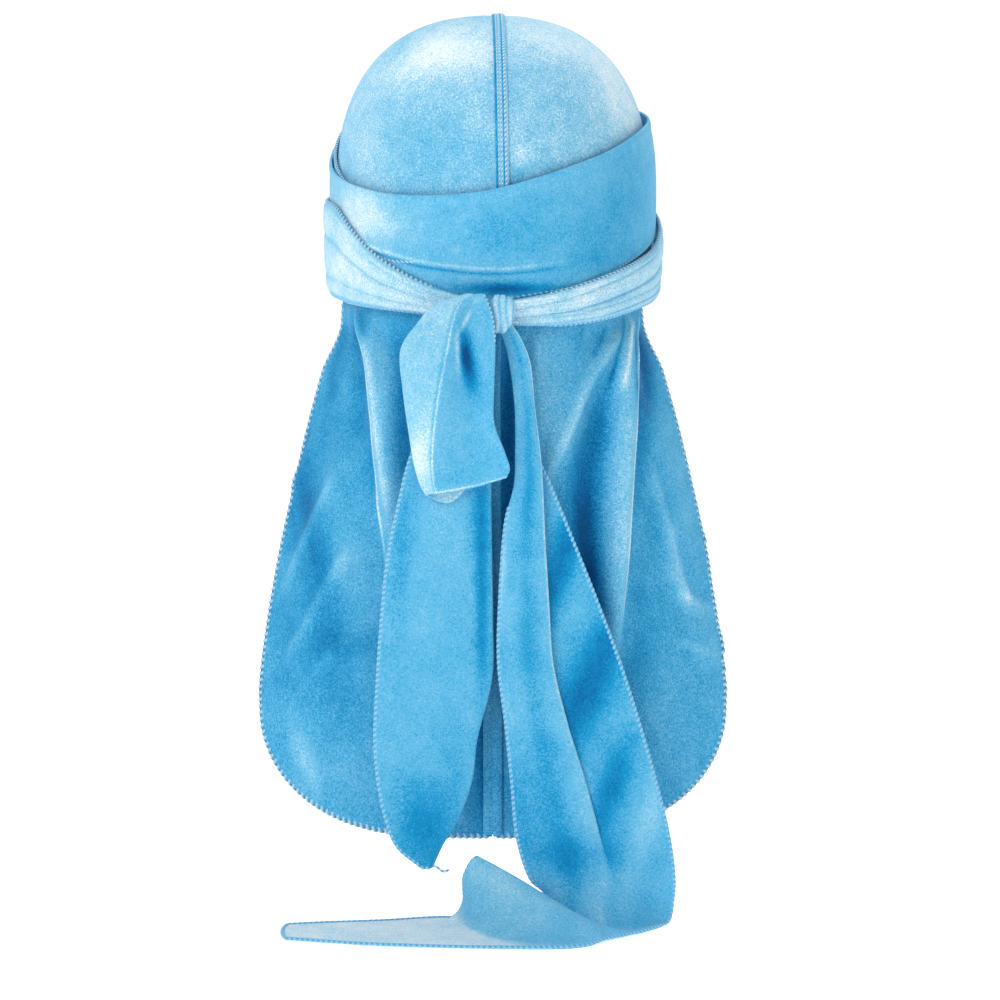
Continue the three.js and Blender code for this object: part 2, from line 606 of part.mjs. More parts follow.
// The right tail, down to the floor, over one wave and out to its tip.
function rightTail() {
  const hanging = RIGHT_TAIL.map((row) => {
    const z = -(TAIL_TOP + row.drop * TAIL_DROP);
    const front = mix(tailBack, tailFront, row.fold);
    const knee = (share, y) => new THREE.Vector3(share * TIE_WIDTH, y, z);
    const inner = row.ridge - row.tuck;
    return [
      knee(row.left, front),
      knee(mix(row.left, row.ridge, 0.5), front - 0.3 * TAIL_FOLD * row.fold),
      knee(row.ridge, front),
      knee(inner, mix(tailBack, front, 0.5)),
      knee(mix(inner, row.right, 0.5), tailBack),
      knee(row.right, tailBack),
    ];
  });
  const lying = FLOOR_TAIL.map((row) => {
    const place = ([across, forward, up]) => {
      const z = up * TIE_WIDTH + CLOTH / 2 - FLOOR_LEVEL;
      return new THREE.Vector3(across * TIE_WIDTH, tailBack - forward * TIE_WIDTH, z);
    };
    const section = new THREE.QuadraticBezierCurve3(
      place(row.left),
      place(row.middle).multiplyScalar(2).sub(place(row.left).lerp(place(row.right), 0.5)),
      place(row.right),
    );
    return [0, 0.27, 0.54, 0.66, 0.83, 1].map((t) => section.getPoint(t));
  });
  const through = surfaceThrough([...hanging, ...lying]);
  const surface = (u, v) => {
    const point = through(u, v);
    point.z = Math.max(point.z, CLOTH / 2 - FLOOR_LEVEL);
    return point;
  };
  return clothSheet(surface, 12, 42);
}

// Velvet catches the light, so the ties and the cape differ a little in colour.
function velvet(name, geometry, color) {
  geometry.computeVertexNormals();
  const material = new THREE.MeshStandardMaterial({ color, roughness: 0.85, metalness: 0 });
  const mesh = new THREE.Mesh(geometry, material);
  mesh.name = name;
  return mesh;
}

const PALE_BLUE = "#a5d8f0";
const SKY_BLUE = "#7cc4e8";
const DEEP_BLUE = "#4fa9dc";
const LEFT = -1;
const RIGHT = 1;

const durag = new THREE.Group();
durag.add(velvet("cap_left", capPanel(LEFT), SKY_BLUE));
durag.add(velvet("cap_right", capPanel(RIGHT), SKY_BLUE));
durag.add(velvet("crown_seam", crownSeam(), PALE_BLUE));
durag.add(velvet("forehead_band", foreheadBand(), SKY_BLUE));
const leftWrap = tieWrap(LEFT, 1, LEFT_RETURN_LAYER, LEFT_START, LEFT_RETURN, wrapPleats(4, 0, 0));
const rightWrap = tieWrap(RIGHT, 2, RIGHT_RETURN_LAYER, RIGHT_START, RIGHT_RETURN, wrapPleats(3, -30, 36));
durag.add(velvet("left_tie_wrap", leftWrap, SKY_BLUE));
durag.add(velvet("right_tie_wrap", rightWrap, PALE_BLUE));
durag.add(velvet("knot", knot(), PALE_BLUE));
durag.add(velvet("bow_loop", bowLoop(), SKY_BLUE));
durag.add(velvet("left_tie_tail", leftTail(), DEEP_BLUE));
durag.add(velvet("right_tie_tail", rightTail(), DEEP_BLUE));
durag.add(velvet("cape_left", capePanel(LEFT), SKY_BLUE));
durag.add(velvet("cape_right", capePanel(RIGHT), SKY_BLUE));
durag.add(velvet("cape_seam", capeSeam(), PALE_BLUE));

export default durag;
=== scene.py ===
# %% [markdown]
# # A velvet durag, tied the way it is worn
#
# A durag is a thin stretchy velvet cap with a long cape at the back and two long ties.
# The CAD model has already fixed the size and the place of every piece of cloth, and the
# frame brings it in. This lesson dresses that frame: each cloth is made again as a fine
# surface with its folds, its hems and its velvet, in the very place of its CAD solid.

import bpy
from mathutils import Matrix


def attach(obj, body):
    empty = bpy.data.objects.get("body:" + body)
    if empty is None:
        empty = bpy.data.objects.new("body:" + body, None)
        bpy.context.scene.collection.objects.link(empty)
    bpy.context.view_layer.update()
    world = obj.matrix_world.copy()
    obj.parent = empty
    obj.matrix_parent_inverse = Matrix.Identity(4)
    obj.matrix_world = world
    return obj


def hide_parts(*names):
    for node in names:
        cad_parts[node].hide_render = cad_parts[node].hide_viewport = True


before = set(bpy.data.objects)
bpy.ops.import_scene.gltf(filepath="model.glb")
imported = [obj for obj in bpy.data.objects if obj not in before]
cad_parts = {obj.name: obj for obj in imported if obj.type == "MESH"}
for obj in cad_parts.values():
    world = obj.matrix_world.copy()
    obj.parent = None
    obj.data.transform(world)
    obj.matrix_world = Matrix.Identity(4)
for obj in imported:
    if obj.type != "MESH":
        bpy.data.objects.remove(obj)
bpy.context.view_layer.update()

import bmesh
import bpy
import numpy as np

SIDES = ((-1, "left"), (1, "right"))
scene = bpy.context.scene
print("cloth nodes to dress:", sorted(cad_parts))

# %% [markdown]
# ## Camera
#
# The camera comes first, because every later look is judged through it. It stands behind
# the wearer, a little above the middle of the cloth, and looks down by five degrees. A long
# lens keeps the two side hems of the cape from spreading, as in a catalogue picture.

# %% Camera behind the wearer
CAMERA_TARGET = np.array([0.0035, -0.060, -0.2331])
CAMERA_DISTANCE = 1.6
CAMERA_TILT = np.radians(5.0)
CAMERA_LENS = 119.5

camera = bpy.data.objects.new("camera", bpy.data.cameras.new("camera"))
scene.collection.objects.link(camera)
away = np.array([0.0, -np.cos(CAMERA_TILT), np.sin(CAMERA_TILT)])
camera.location = CAMERA_TARGET + CAMERA_DISTANCE * away
camera.rotation_euler = (np.pi / 2 - CAMERA_TILT, 0.0, 0.0)
camera.data.sensor_width = 36.0
camera.data.lens = CAMERA_LENS
camera.data.clip_end = 50.0
scene.camera = camera
print("camera stands at", [round(c, 3) for c in camera.location])

# %% [markdown]
# ## Sizes of the cloth
#
# The surfaces below are worked out in millimetres, with the same named sizes as the CAD
# model, and turned into metres when a mesh is made. Levels are depths below the crown.
# Layers of cloth are counted outwards from the cap, and azimuths and turns are in degrees,
# from the middle of the back.

# %% Named sizes
MM = 0.001
HALF_WIDTH = 76.0
HALF_LENGTH = 95.0
CROWN_HEIGHT = 85.0
ROUNDNESS = 2.42
NAPE_LEVEL = 150.0
NAPE_TAPER = 0.035
CLOTH = 1.3
LAYER_GAP = 0.5
EDGE_GAP = 0.5
SEAM_WIDTH = 8.0
SEAM_OFFSET = 2.4
SEAM_LEAN = 2.5
CROWN_SEAM_WIDTH = 5.0
SEAM_CLOTH = 0.7
FOREHEAD_BAND = 14.0
TIE_WIDTH = 90.0
LEFT_RETURN_LAYER = 3.0
RIGHT_RETURN_LAYER = 3.5
PLEAT = 1.6
KNOT_LEVEL = NAPE_LEVEL - 8.0
KNOT_SIZE = np.array([13.0, 12.0, 18.0])
KNOT_OFFSET = 3.5
KNOT_TILT = np.radians(18.0)
FLOOR_LEVEL = 432.0
LEFT_TAIL_LENGTH = 252.0
TAIL_FOLD = 4.6
LOOP_LENGTH = 96.0
LOOP_FOLD = 12.0
HANG_GAP = 0.9
CAPE_DROP = 241.0
CAPE_HALF_WIDTH = 113.0
CAPE_CORNER_WIDTH = 84.0
CAPE_CORNER_HEIGHT = 64.0
CAPE_ANGLE = 76.0
CAPE_TOP_BLEND = 0.16
FOLD_DEPTH = 9.0
TAIL_TOP = KNOT_LEVEL + KNOT_SIZE[2] / 2 + EDGE_GAP / 2
TAIL_DROP = FLOOR_LEVEL - TAIL_TOP
print("the right tail drops", round(TAIL_DROP), "mm to the floor")

# %% [markdown]
# ## Small tables, read smoothly
#
# A tie gets wider and narrower along its way round the head. A few measured stations say
# where its middle runs and how wide it is there, and a smooth cubic runs through them.

# %% Smooth reading of a table
def smooth(t):
    """Ease from 0 to 1: three t squared less two t cubed."""
    t = np.clip(t, 0.0, 1.0)
    return t * t * (3.0 - 2.0 * t)


def mix(a, b, t):
    """Straight blend: a at t = 0, b at t = 1."""
    return a + (b - a) * t


def bump(x, flank):
    """Bell: e to the minus (x over flank) squared."""
    return np.exp(-((x / flank) ** 2))


def table(names, rows):
    """Columns by name from rows of numbers."""
    return dict(zip(names.split(), np.array(rows, dtype=float).T))


def read(data, place, column, at):
    """Cubic through the rows: each piece leaves a row with the slope between its neighbours."""
    x, y = data[place], data[column]
    last = len(x) - 1
    k = np.clip(np.searchsorted(x, at) - 1, 0, last - 1)
    before, after = np.maximum(np.arange(last + 1) - 1, 0), np.minimum(np.arange(last + 1) + 1, last)
    slope = (y[after] - y[before]) / (x[after] - x[before])
    span = x[k + 1] - x[k]
    t = np.clip((at - x[k]) / span, 0.0, 1.0)
    bend = span * t * (1 - t) * (slope[k] * (1 - t) - slope[k + 1] * t)
    return mix(y[k], y[k + 1], t * t * (3 - 2 * t)) + bend


def spline(knots, at):
    """Centripetal Catmull-Rom curve through knots along axis 0, one place from 0 to 1 per sample."""
    ends = 2 * knots[:1] - knots[1:2], 2 * knots[-1:] - knots[-2:-1]
    chain = np.concatenate([ends[0], knots, ends[1]])
    place = at * (len(knots) - 1)
    k = np.minimum(place.astype(int), len(knots) - 2)
    t = (place - k).reshape(-1, *[1] * (knots.ndim - 1))
    p0, p1, p2, p3 = chain[k], chain[k + 1], chain[k + 2], chain[k + 3]

    def gap(a, b):
        return np.maximum(np.linalg.norm(b - a, axis=-1, keepdims=True), 1e-6) ** 0.5

    d0, d1, d2 = gap(p0, p1), gap(p1, p2), gap(p2, p3)
    out = ((p1 - p0) / d0 - (p2 - p0) / (d0 + d1) + (p2 - p1) / d1) * d1
    come = ((p2 - p1) / d1 - (p3 - p1) / (d1 + d2) + (p3 - p2) / d2) * d1
    turn = 2 * (p1 - p2) + out + come
    return ((turn * t + 3 * (p2 - p1) - 2 * out - come) * t + out) * t + p1


def through_sections(sections, u, v):
    """Surface through rows of knots: curves down the knots first, then curves across them."""
    down = spline(np.array(sections, dtype=float), v)
    return spline(down.transpose(1, 0, 2), u).transpose(1, 0, 2)


# %% [markdown]
# ## The head under the cap
#
# The cap keeps the form of the head: an oval in plan that closes over the crown as a
# superellipse, a little squarer than a ball, and tapers slightly to the nape. Every layer
# of cloth lies at its own lift above this form.

# %% The head form
def girth(level):
    """Share of the full plan at a level: a superellipse above, a small taper below."""
    rise = np.clip(1 - level / CROWN_HEIGHT, 0.0, 1.0)
    below = np.clip((level - CROWN_HEIGHT) / (NAPE_LEVEL - CROWN_HEIGHT), 0.0, None)
    return (1 - rise**ROUNDNESS) ** (1 / ROUNDNESS) - NAPE_TAPER * below**2


def unit(vectors):
    """Each vector divided by its length."""
    return vectors / np.maximum(np.linalg.norm(vectors, axis=-1, keepdims=True), 1e-12)


def head_normal(azimuth, level):
    """Way straight out of the head: the gradient of the superellipse."""
    azimuth, level = np.broadcast_arrays(np.radians(azimuth), np.asarray(level, dtype=float))
    pull = girth(level) ** (ROUNDNESS - 1)
    up = np.clip(1 - level / CROWN_HEIGHT, 0.0, 1.0) ** (ROUNDNESS - 1) / CROWN_HEIGHT
    east = np.sin(azimuth) / HALF_WIDTH * pull
    south = -np.cos(azimuth) / HALF_LENGTH * pull
    return unit(np.stack([east, south, up], axis=-1))


def head_point(azimuth, level, lift):
    """Point of the head form at an azimuth and a level, moved out by the lift."""
    turned, down = np.broadcast_arrays(np.radians(azimuth), np.asarray(level, dtype=float))
    size = girth(down)
    x = HALF_WIDTH * size * np.sin(turned)
    y = -HALF_LENGTH * size * np.cos(turned)
    lift = np.broadcast_to(np.asarray(lift, dtype=float), x.shape)[..., None]
    return np.stack([x, y, -down], axis=-1) + head_normal(azimuth, level) * lift


def layer_lift(layer):
    """Lift of the middle of a layer: half a cloth, then one cloth and one gap for each layer."""
    return CLOTH / 2 + layer * (CLOTH + LAYER_GAP)


print("middle of the cap's cloth lies at y", head_point(0.0, 100.0, layer_lift(0))[1].round(1), "mm")

# %% [markdown]
# ## A closed sheet of cloth
#
# Velvet this thin could be a bare surface with a Solidify modifier, but its cut edges would
# be square. Here the middle surface gets half of the cloth's thickness to each side, and
# two narrow rings past its edge where the thickness runs out in a round, like a real edge.

# %% Sheets with round edges
RIM = 0.6
RIM_REACH = np.array([1.0, 0.7]) * RIM
RIM_SHARE = 0.71


def face_normal(surface):
    """Way out of the face at each point: its way along the row crossed with its way down."""
    return unit(np.cross(np.gradient(surface, axis=1), np.gradient(surface, axis=0)))


def closed_sheet(middle, pole, thick):
    """Front and back faces of a middle surface, joined round its rim. A pole is a top row in one point."""
    normal = face_normal(middle)
    left = unit(middle[:, 0] - middle[:, 1])
    right = unit(middle[:, -1] - middle[:, -2])
    if pole:
        normal[0] = unit(normal[1].mean(axis=0))
        left[0] = right[0] = unit(left[1] + right[1])
    before = [(middle[:, 0] + left * reach)[:, None] for reach in RIM_REACH]
    after = [(middle[:, -1] + right * reach)[:, None] for reach in RIM_REACH[::-1]]
    wide = np.concatenate([*before, middle, *after], axis=1)
    foot = [(wide[-1] + unit(wide[-1] - wide[-2]) * reach)[None] for reach in RIM_REACH[::-1]]
    head = [] if pole else [(wide[0] + unit(wide[0] - wide[1]) * reach)[None] for reach in RIM_REACH]
    full = np.concatenate([*head, wide, *foot], axis=0)
    normal = np.pad(normal, ((len(head), 2), (2, 2), (0, 0)), mode="edge")
    share = np.pad(np.ones(middle.shape[:2]), ((0, 0), (2, 2)))
    share[:, 1] = share[:, -2] = RIM_SHARE
    share = np.pad(share, ((len(head), 2), (0, 0)), mode="edge")
    share[-1] = 0.0
    share[-2] = np.minimum(share[-2], RIM_SHARE)
    if not pole:
        share[0] = 0.0
        share[1] = np.minimum(share[1], RIM_SHARE)
    half = normal * (share * thick / 2)[..., None]
    return full + half, full - half


def sheet_quads(rows, columns):
    """Corners of each cell of a grid, in the order that points the front face outwards."""
    ids = np.arange(rows * columns).reshape(rows, columns)
    return np.stack([ids[:-1, :-1], ids[:-1, 1:], ids[1:, 1:], ids[1:, :-1]], axis=-1).reshape(-1, 4)


# %% [markdown]
# ## From arrays to a Blender mesh
#
# Each piece carries two things for its velvet: a UV map in metres along the cloth, and one
# number per point from deep to pale. Crushed velvet is pale where its nap leans towards the
# light and deep where it leans away, and the number holds that lie of the nap together with
# painted light and shade: painted highlights on crests and ridges, painted shade in folds,
# grooves and gaps.

# %% Meshes with a nap and painted shading
MERGE_DISTANCE = 2e-6


def add_mesh(name, points, quads, nap_and_shading, uv):
    """Mesh from millimetre points and quads, doubles merged, with pile tone, painted shading and a UV map.
    """
    mesh = bpy.data.meshes.new(name)
    mesh.vertices.add(len(points))
    mesh.vertices.foreach_set("co", (np.asarray(points) * MM).astype(np.float32).ravel())
    mesh.loops.add(quads.size)
    mesh.loops.foreach_set("vertex_index", quads.ravel().astype(np.int32))
    mesh.polygons.add(len(quads))
    mesh.polygons.foreach_set("loop_start", np.arange(0, quads.size, 4, dtype=np.int32))
    mesh.polygons.foreach_set("use_smooth", np.ones(len(quads), dtype=bool))
    mesh.update(calc_edges=True)
    # Per point: lie of the nap plus painted highlights and painted shade.
    tones = mesh.attributes.new("nap_and_shading", "FLOAT", "POINT").data
    tones.foreach_set("value", nap_and_shading.astype(np.float32).ravel())
    layer = mesh.uv_layers.new(name="cloth")
    layer.data.foreach_set("uv", uv.reshape(-1, 2)[quads.ravel()].astype(np.float32).ravel())
    piece = bpy.data.objects.new(name, mesh)
    scene.collection.objects.link(piece)
    merge_doubles(mesh)
    return piece


def merge_doubles(mesh):
    """Points at one place become one point, and faces without area go."""
    work = bmesh.new()
    work.from_mesh(mesh)
    bmesh.ops.remove_doubles(work, verts=work.verts, dist=MERGE_DISTANCE)
    work.to_mesh(mesh)
    work.free()


def lengths(middle):
    """Distance along the rows and down the columns, in metres, as two arrays."""
    step_u = np.linalg.norm(np.diff(middle, axis=1), axis=-1)
    step_v = np.linalg.norm(np.diff(middle, axis=0), axis=-1)
    u = np.pad(np.cumsum(step_u, axis=1), ((0, 0), (1, 0)))
    v = np.pad(np.cumsum(step_v, axis=0), ((1, 0), (0, 0)))
    return u * MM, v * MM


def make_cloth(name, middle, nap_and_shading, flipped=False, pole=False, thick=CLOTH):
    """A closed sheet round a middle surface, with its pile tone and painted shading on both faces."""
    if flipped:
        middle, nap_and_shading = middle[:, ::-1], nap_and_shading[:, ::-1]
    front, back = closed_sheet(middle, pole, thick)
    rows, columns = front.shape[:2]
    around = ((0 if pole else 2, 2), (2, 2))
    nap_and_shading = np.pad(np.broadcast_to(nap_and_shading, middle.shape[:2]), around, mode="edge")
    uv = np.stack([np.pad(part, around, mode="edge") for part in lengths(middle)], axis=-1)
    quads = sheet_quads(rows, columns)
    points = np.concatenate([front.reshape(-1, 3), back.reshape(-1, 3)])
    faces = np.concatenate([quads, quads[:, ::-1] + rows * columns])
    piece = add_mesh(name, points, faces, np.tile(nap_and_shading.ravel(), 2), np.tile(uv.reshape(-1, 2), (2, 1)))
    across, down = np.diff(middle, axis=1)[:-1], np.diff(middle, axis=0)[:, :-1]
    area = np.linalg.norm(np.cross(across, down), axis=-1).sum()
    print(name, "has", len(piece.data.polygons), "faces and", round(area / 100, 1), "cm2 of cloth")
    return piece


# %% [markdown]
# ## Overlocked hems
#
# Every cut edge of this durag is overlocked: a machine wraps thread round the edge, so it
# reads as a thin rope with slanted turns. A flat strip with a bump would vanish at the
# silhouette, so the hem is a real rope: a flat oval profile carried along the edge, whose
# radius swells and sinks once for each turn of the thread.

# %% Ropes along an edge
STITCH_PITCH = 2.6
RINGS_PER_TURN = 7
FEWEST_STEPS = 8


def resample(rows, marks, places):
    """Points or directions known at the marks, read at other places between them."""
    return np.stack([np.interp(places, marks, rows[:, k]) for k in range(3)], axis=-1)


def make_rope(name, path, facing, size, pitch=STITCH_PITCH, depth=0.14, sides=10):
    """Oval carried along a path. Radius = size x (1 + depth x sin(turns along + angle round it))."""
    marks = np.concatenate([[0.0], np.cumsum(np.linalg.norm(np.diff(path, axis=0), axis=1))])
    steps = max(int(marks[-1] / (pitch / RINGS_PER_TURN)), FEWEST_STEPS)
    even = np.linspace(0.0, marks[-1], steps + 1)
    points = resample(path, marks, even)
    out = unit(resample(facing, marks, even))
    way = unit(np.gradient(points, axis=0))
    side = unit(np.cross(way, out))
    out = np.cross(side, way)
    angle = np.linspace(0.0, 2 * np.pi, sides, endpoint=False)[None, :]
    swell = 1 + depth * np.sin(2 * np.pi * even[:, None] / pitch + angle)
    ends = np.clip(np.minimum(even, even[-1] - even) / size[0], 0.0, 1.0)[:, None] ** 0.5
    wide = np.cos(angle) * size[0] * swell * ends
    high = np.sin(angle) * size[1] * swell * ends
    ring = points[:, None] + side[:, None] * wide[..., None] + out[:, None] * high[..., None]
    ids = np.arange(ring[..., 0].size).reshape(ring.shape[:2])
    turn = np.roll(ids, -1, axis=1)
    quads = np.stack([ids[:-1], turn[:-1], turn[1:], ids[1:]], axis=-1).reshape(-1, 4)
    # Painted shade between the turns of the thread, painted highlight on top of them.
    nap_and_shading = np.clip(0.5 + 0.5 * (swell - 1) / depth, 0.0, 1.0)
    round_it = np.broadcast_to(angle, nap_and_shading.shape) * size[0] * MM
    along = np.repeat(even[:, None] * MM, sides, axis=1)
    rope = add_mesh(name, ring.reshape(-1, 3), quads, nap_and_shading, np.stack([round_it, along], axis=-1))
    print(name, "runs", round(even[-1]), "mm")
    return rope


# %% [markdown]
# ## Velvet
#
# Velvet shows three things: a body colour that changes with the lie of the nap, bright
# specks and patches where the pile is crushed, and a pale bloom at its edges. The first
# comes from the number each point carries through a colour ramp; that number also holds
# painted light and shade, pale on crests and deep in folds and gaps. The second comes from
# noise in four sizes, from specks under a millimetre to clouds a few centimetres wide: each
# size shifts the ramp up and down, and the two finest lift a little bump. The third is the
# sheen of the Principled shader.

# %% Node helpers
def colour(red, green, blue):
    """Screen colour from 0 to 255 turned into linear light."""
    part = np.array([red, green, blue]) / 255.0
    linear = np.where(part <= 0.04045, part / 12.92, ((part + 0.055) / 1.055) ** 2.4)
    return (*linear.tolist(), 1.0)


def new_material(name):
    """Node material with its node tree and the Principled shader on its output."""
    material = bpy.data.materials.new(name)
    material.use_nodes = True
    tree = material.node_tree
    return material, tree, next(node for node in tree.nodes if node.type == "BSDF_PRINCIPLED")


def set_inputs(node, values):
    """Numbers and colours for the inputs of a node, by name."""
    for name, value in values.items():
        node.inputs[name].default_value = value


def noise(tree, coordinates, scale, detail, rough):
    """Noise from 0 to 1 on the given coordinates, with its scale in turns per metre."""
    node = tree.nodes.new("ShaderNodeTexNoise")
    set_inputs(node, {"Scale": scale, "Detail": detail, "Roughness": rough})
    tree.links.new(coordinates, node.inputs["Vector"])
    return node.outputs["Fac"]


def math_node(tree, operation, *values):
    """Math node of its values, each a socket or a number."""
    node = tree.nodes.new("ShaderNodeMath")
    node.operation = operation
    for socket, value in zip(node.inputs, values):
        if isinstance(value, float):
            socket.default_value = value
        else:
            tree.links.new(value, socket)
    return node.outputs[0]


def swing(tree, value, strength):
    """Strength x (value less one half), which raises as much as it lowers."""
    return math_node(tree, "MULTIPLY_ADD", value, strength, -0.5 * strength)


def nap_and_shading_value(tree):
    """The number of pile tone and painted light and shade that the mesh carries."""
    node = tree.nodes.new("ShaderNodeAttribute")
    node.attribute_name = "nap_and_shading"
    return node.outputs["Fac"]


def paint(tree, shader, value, stops, easing="LINEAR"):
    """Base colour from a value, through a ramp of (place, colour) stops."""
    node = tree.nodes.new("ShaderNodeValToRGB")
    node.color_ramp.interpolation = easing
    while len(node.color_ramp.elements) < len(stops):
        node.color_ramp.elements.new(0.5)
    for element, (place, tone) in zip(node.color_ramp.elements, stops):
        element.position = place
        element.color = tone
    tree.links.new(value, node.inputs[0])
    tree.links.new(node.outputs["Color"], shader.inputs["Base Color"])


def emboss(tree, shader, height, strength, distance):
    """Bump of the surface by a height, which reaches a distance in metres."""
    node = tree.nodes.new("ShaderNodeBump")
    set_inputs(node, {"Strength": strength, "Distance": distance})
    tree.links.new(height, node.inputs["Height"])
    tree.links.new(node.outputs["Normal"], shader.inputs["Normal"])


# %% Velvet material
GRAIN = (2300.0, 2.0, 0.7)
CRUSH = (1050.0, 4.0, 0.7)
PATCH = (150.0, 5.0, 0.65)
CLOUD = (38.0, 3.0, 0.5)
PATCH_SWING = 0.2
CLOUD_SWING = 0.22
PILE_HEIGHT = 0.0006
DEEP_BODY_TONES = [(0.0, (0, 80, 136)), (0.2, (0, 117, 175)), (0.4, (38, 151, 201)), (0.6, (94, 180, 221))]
DEEP_TIE_TONES = [(0.0, (0, 78, 136)), (0.2, (0, 116, 176)), (0.4, (18, 150, 203)), (0.6, (92, 181, 222))]
PALE_TONES = [(0.8, (144, 205, 232)), (0.9, (192, 226, 241)), (1.0, (236, 245, 249))]
SHEEN_TINT = (150, 215, 250)


def velvet(name, stops, speckle):
    """Velvet: a ramp over pile tone with painted shading + each noise's swing, a bump of the pile, a sheen.
    """
    material, tree, shader = new_material(name)
    where = tree.nodes.new("ShaderNodeTexCoord").outputs["Object"]
    grain, crush, patch, cloud = [noise(tree, where, *size) for size in (GRAIN, CRUSH, PATCH, CLOUD)]
    total = nap_and_shading_value(tree)
    for value, strength in ((crush, speckle), (grain, speckle), (patch, PATCH_SWING), (cloud, CLOUD_SWING)):
        total = math_node(tree, "ADD", total, swing(tree, value, strength))
    paint(tree, shader, total, [(place, colour(*tone)) for place, tone in stops], "EASE")
    pile = math_node(tree, "ADD", crush, math_node(tree, "MULTIPLY", grain, 0.6))
    emboss(tree, shader, pile, 0.6, PILE_HEIGHT)
    glint = math_node(tree, "MULTIPLY_ADD", crush, -0.25, 0.74)
    tree.links.new(glint, shader.inputs["Roughness"])
    set_inputs(shader, {"Specular IOR Level": 0.1, "Sheen Weight": 0.5, "Sheen Roughness": 0.35})
    set_inputs(shader, {"Sheen Tint": colour(*SHEEN_TINT)})
    return material


body_velvet = velvet("body_velvet", DEEP_BODY_TONES + PALE_TONES, speckle=0.85)
tie_velvet = velvet("tie_velvet", DEEP_TIE_TONES + PALE_TONES, speckle=0.6)
print("velvets:", body_velvet.name, tie_velvet.name)

# %% [markdown]
# The overlock thread is textured nylon in the same blue. It is dull, with painted shade deep
# between its turns and a painted highlight, paler than the velvet, on top of them, and it has
# fine filaments that follow the rope's own UV map.

# %% Thread material
FILAMENTS = (2200.0, 2.0, 0.7)
FILAMENT_HEIGHT = 0.0003


def thread(name, dark, pale):
    """Thread: a ramp over each turn's painted shading + the swing of its filaments, and their bump."""
    material, tree, shader = new_material(name)
    where = tree.nodes.new("ShaderNodeUVMap")
    where.uv_map = "cloth"
    fibres = noise(tree, where.outputs["UV"], *FILAMENTS)
    tone = math_node(tree, "ADD", swing(tree, fibres, 0.5), nap_and_shading_value(tree))
    paint(tree, shader, tone, [(0.0, colour(*dark)), (1.0, colour(*pale))])
    emboss(tree, shader, fibres, 0.4, FILAMENT_HEIGHT)
    set_inputs(shader, {"Roughness": 0.7, "Sheen Weight": 0.2})
    return material


hem_thread = thread("hem_thread", (62, 152, 203), (142, 204, 232))
cape_thread = thread("cape_thread", (6, 86, 140), (170, 220, 240))
seam_thread = thread("seam_thread", (52, 138, 190), (206, 234, 246))
print("threads:", hem_thread.name, cape_thread.name, seam_thread.name)

# %% [markdown]
# ## Finishing a piece
#
# Every piece rides on the one body of the model, and a cloth stands for its CAD solid. One
# helper says so for all of them, and another makes a row of thread that is finished the
# same way.

# %% Finish helpers
def dress(piece, material, slot_name, *nodes):
    """Gives a piece its material and lets it ride for its CAD nodes. Its slot name is not used."""
    piece.data.materials.clear()
    piece.data.materials.append(material)
    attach(piece, "root")
    if nodes:
        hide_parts(*nodes)
    return piece


def sew(name, line, out, material, slot_name, *rope):
    """A finished rope of thread along a line, with the way out of the cloth beside it."""
    return dress(make_rope(name, line, out, *rope), material, slot_name)


def carry_on(line, out, more):
    """A path carried on along more points, with its last way out kept."""
    return np.concatenate([line, more]), np.concatenate([out, np.repeat(out[-1:], len(more), axis=0)])


def section(shares, depths, levels, middle=0.0):
    """Knots of one row of a tie: x = middle + share x tie width, y = depth, z = level."""
    x = middle + np.array(shares) * TIE_WIDTH
    return np.stack([x, depths, np.broadcast_to(levels, x.shape)], axis=-1)


def evenly(count):
    """Count + 1 places from 0 to 1."""
    return np.linspace(0.0, 1.0, count + 1)


print("helpers ready: dress, sew, carry_on, section, evenly")

# %% [markdown]
# ## The cap
#
# The cap is two panels that meet over the middle of the head. Each could be cut from a
# sphere, but the stretched velvet takes the head's form, so each panel is a grid on that
# form: across by azimuth, from the back round to the brow, and down from the crown to its
# hem. Close to the seam the stitching pulls small puckers into the cloth.

# %% Cap panels
CAP_HEM = table(
    "azimuth level",
    [(0, 1.0), (36, 0.99), (72, 0.955), (96, 0.82), (120, 0.61), (150, 0.46), (180, 0.41)],
)
TUCK = 0.1
TUCK_AZIMUTH = 26.0
TUCK_SPAN = 72.0
ROW_SPREAD = 1.8
PUCKER = 0.22
PUCKER_OFFSET = 9.0
PUCKER_FLANK = 5.0
PUCKER_PITCH = 8.5
SEAM_RADIUS = 90.0
CAP_NAP = 0.75


def cap_hem_level(azimuth):
    """Level of the cap's lower hem. It is drawn up under the ties, which hide the join."""
    tuck = TUCK * (1 - smooth((np.abs(azimuth) - TUCK_AZIMUTH) / TUCK_SPAN))
    return NAPE_LEVEL * read(CAP_HEM, "azimuth", "level", np.abs(azimuth)) * (1 - tuck)


def shift_middle(azimuth, level):
    """Azimuth and level after x moves towards the seam by its offset x (1 - (x / half width) squared)."""
    size = girth(level)
    x, y = size * np.sin(np.radians(azimuth)), -size * np.cos(np.radians(azimuth))
    back = smooth(-y * 1.5)
    x = x + (SEAM_OFFSET + SEAM_LEAN * back) / HALF_WIDTH * (1 - x**2)
    lower = level >= CROWN_HEIGHT
    y = np.where(lower, np.sign(y) * np.sqrt(np.maximum(size**2 - x**2, 0.0)), y)
    reach = np.minimum(np.hypot(x, y), 1.0)
    upper_level = CROWN_HEIGHT * (1 - (1 - reach**ROUNDNESS) ** (1 / ROUNDNESS))
    return np.degrees(np.arctan2(x, -y)), np.where(lower, level, upper_level)


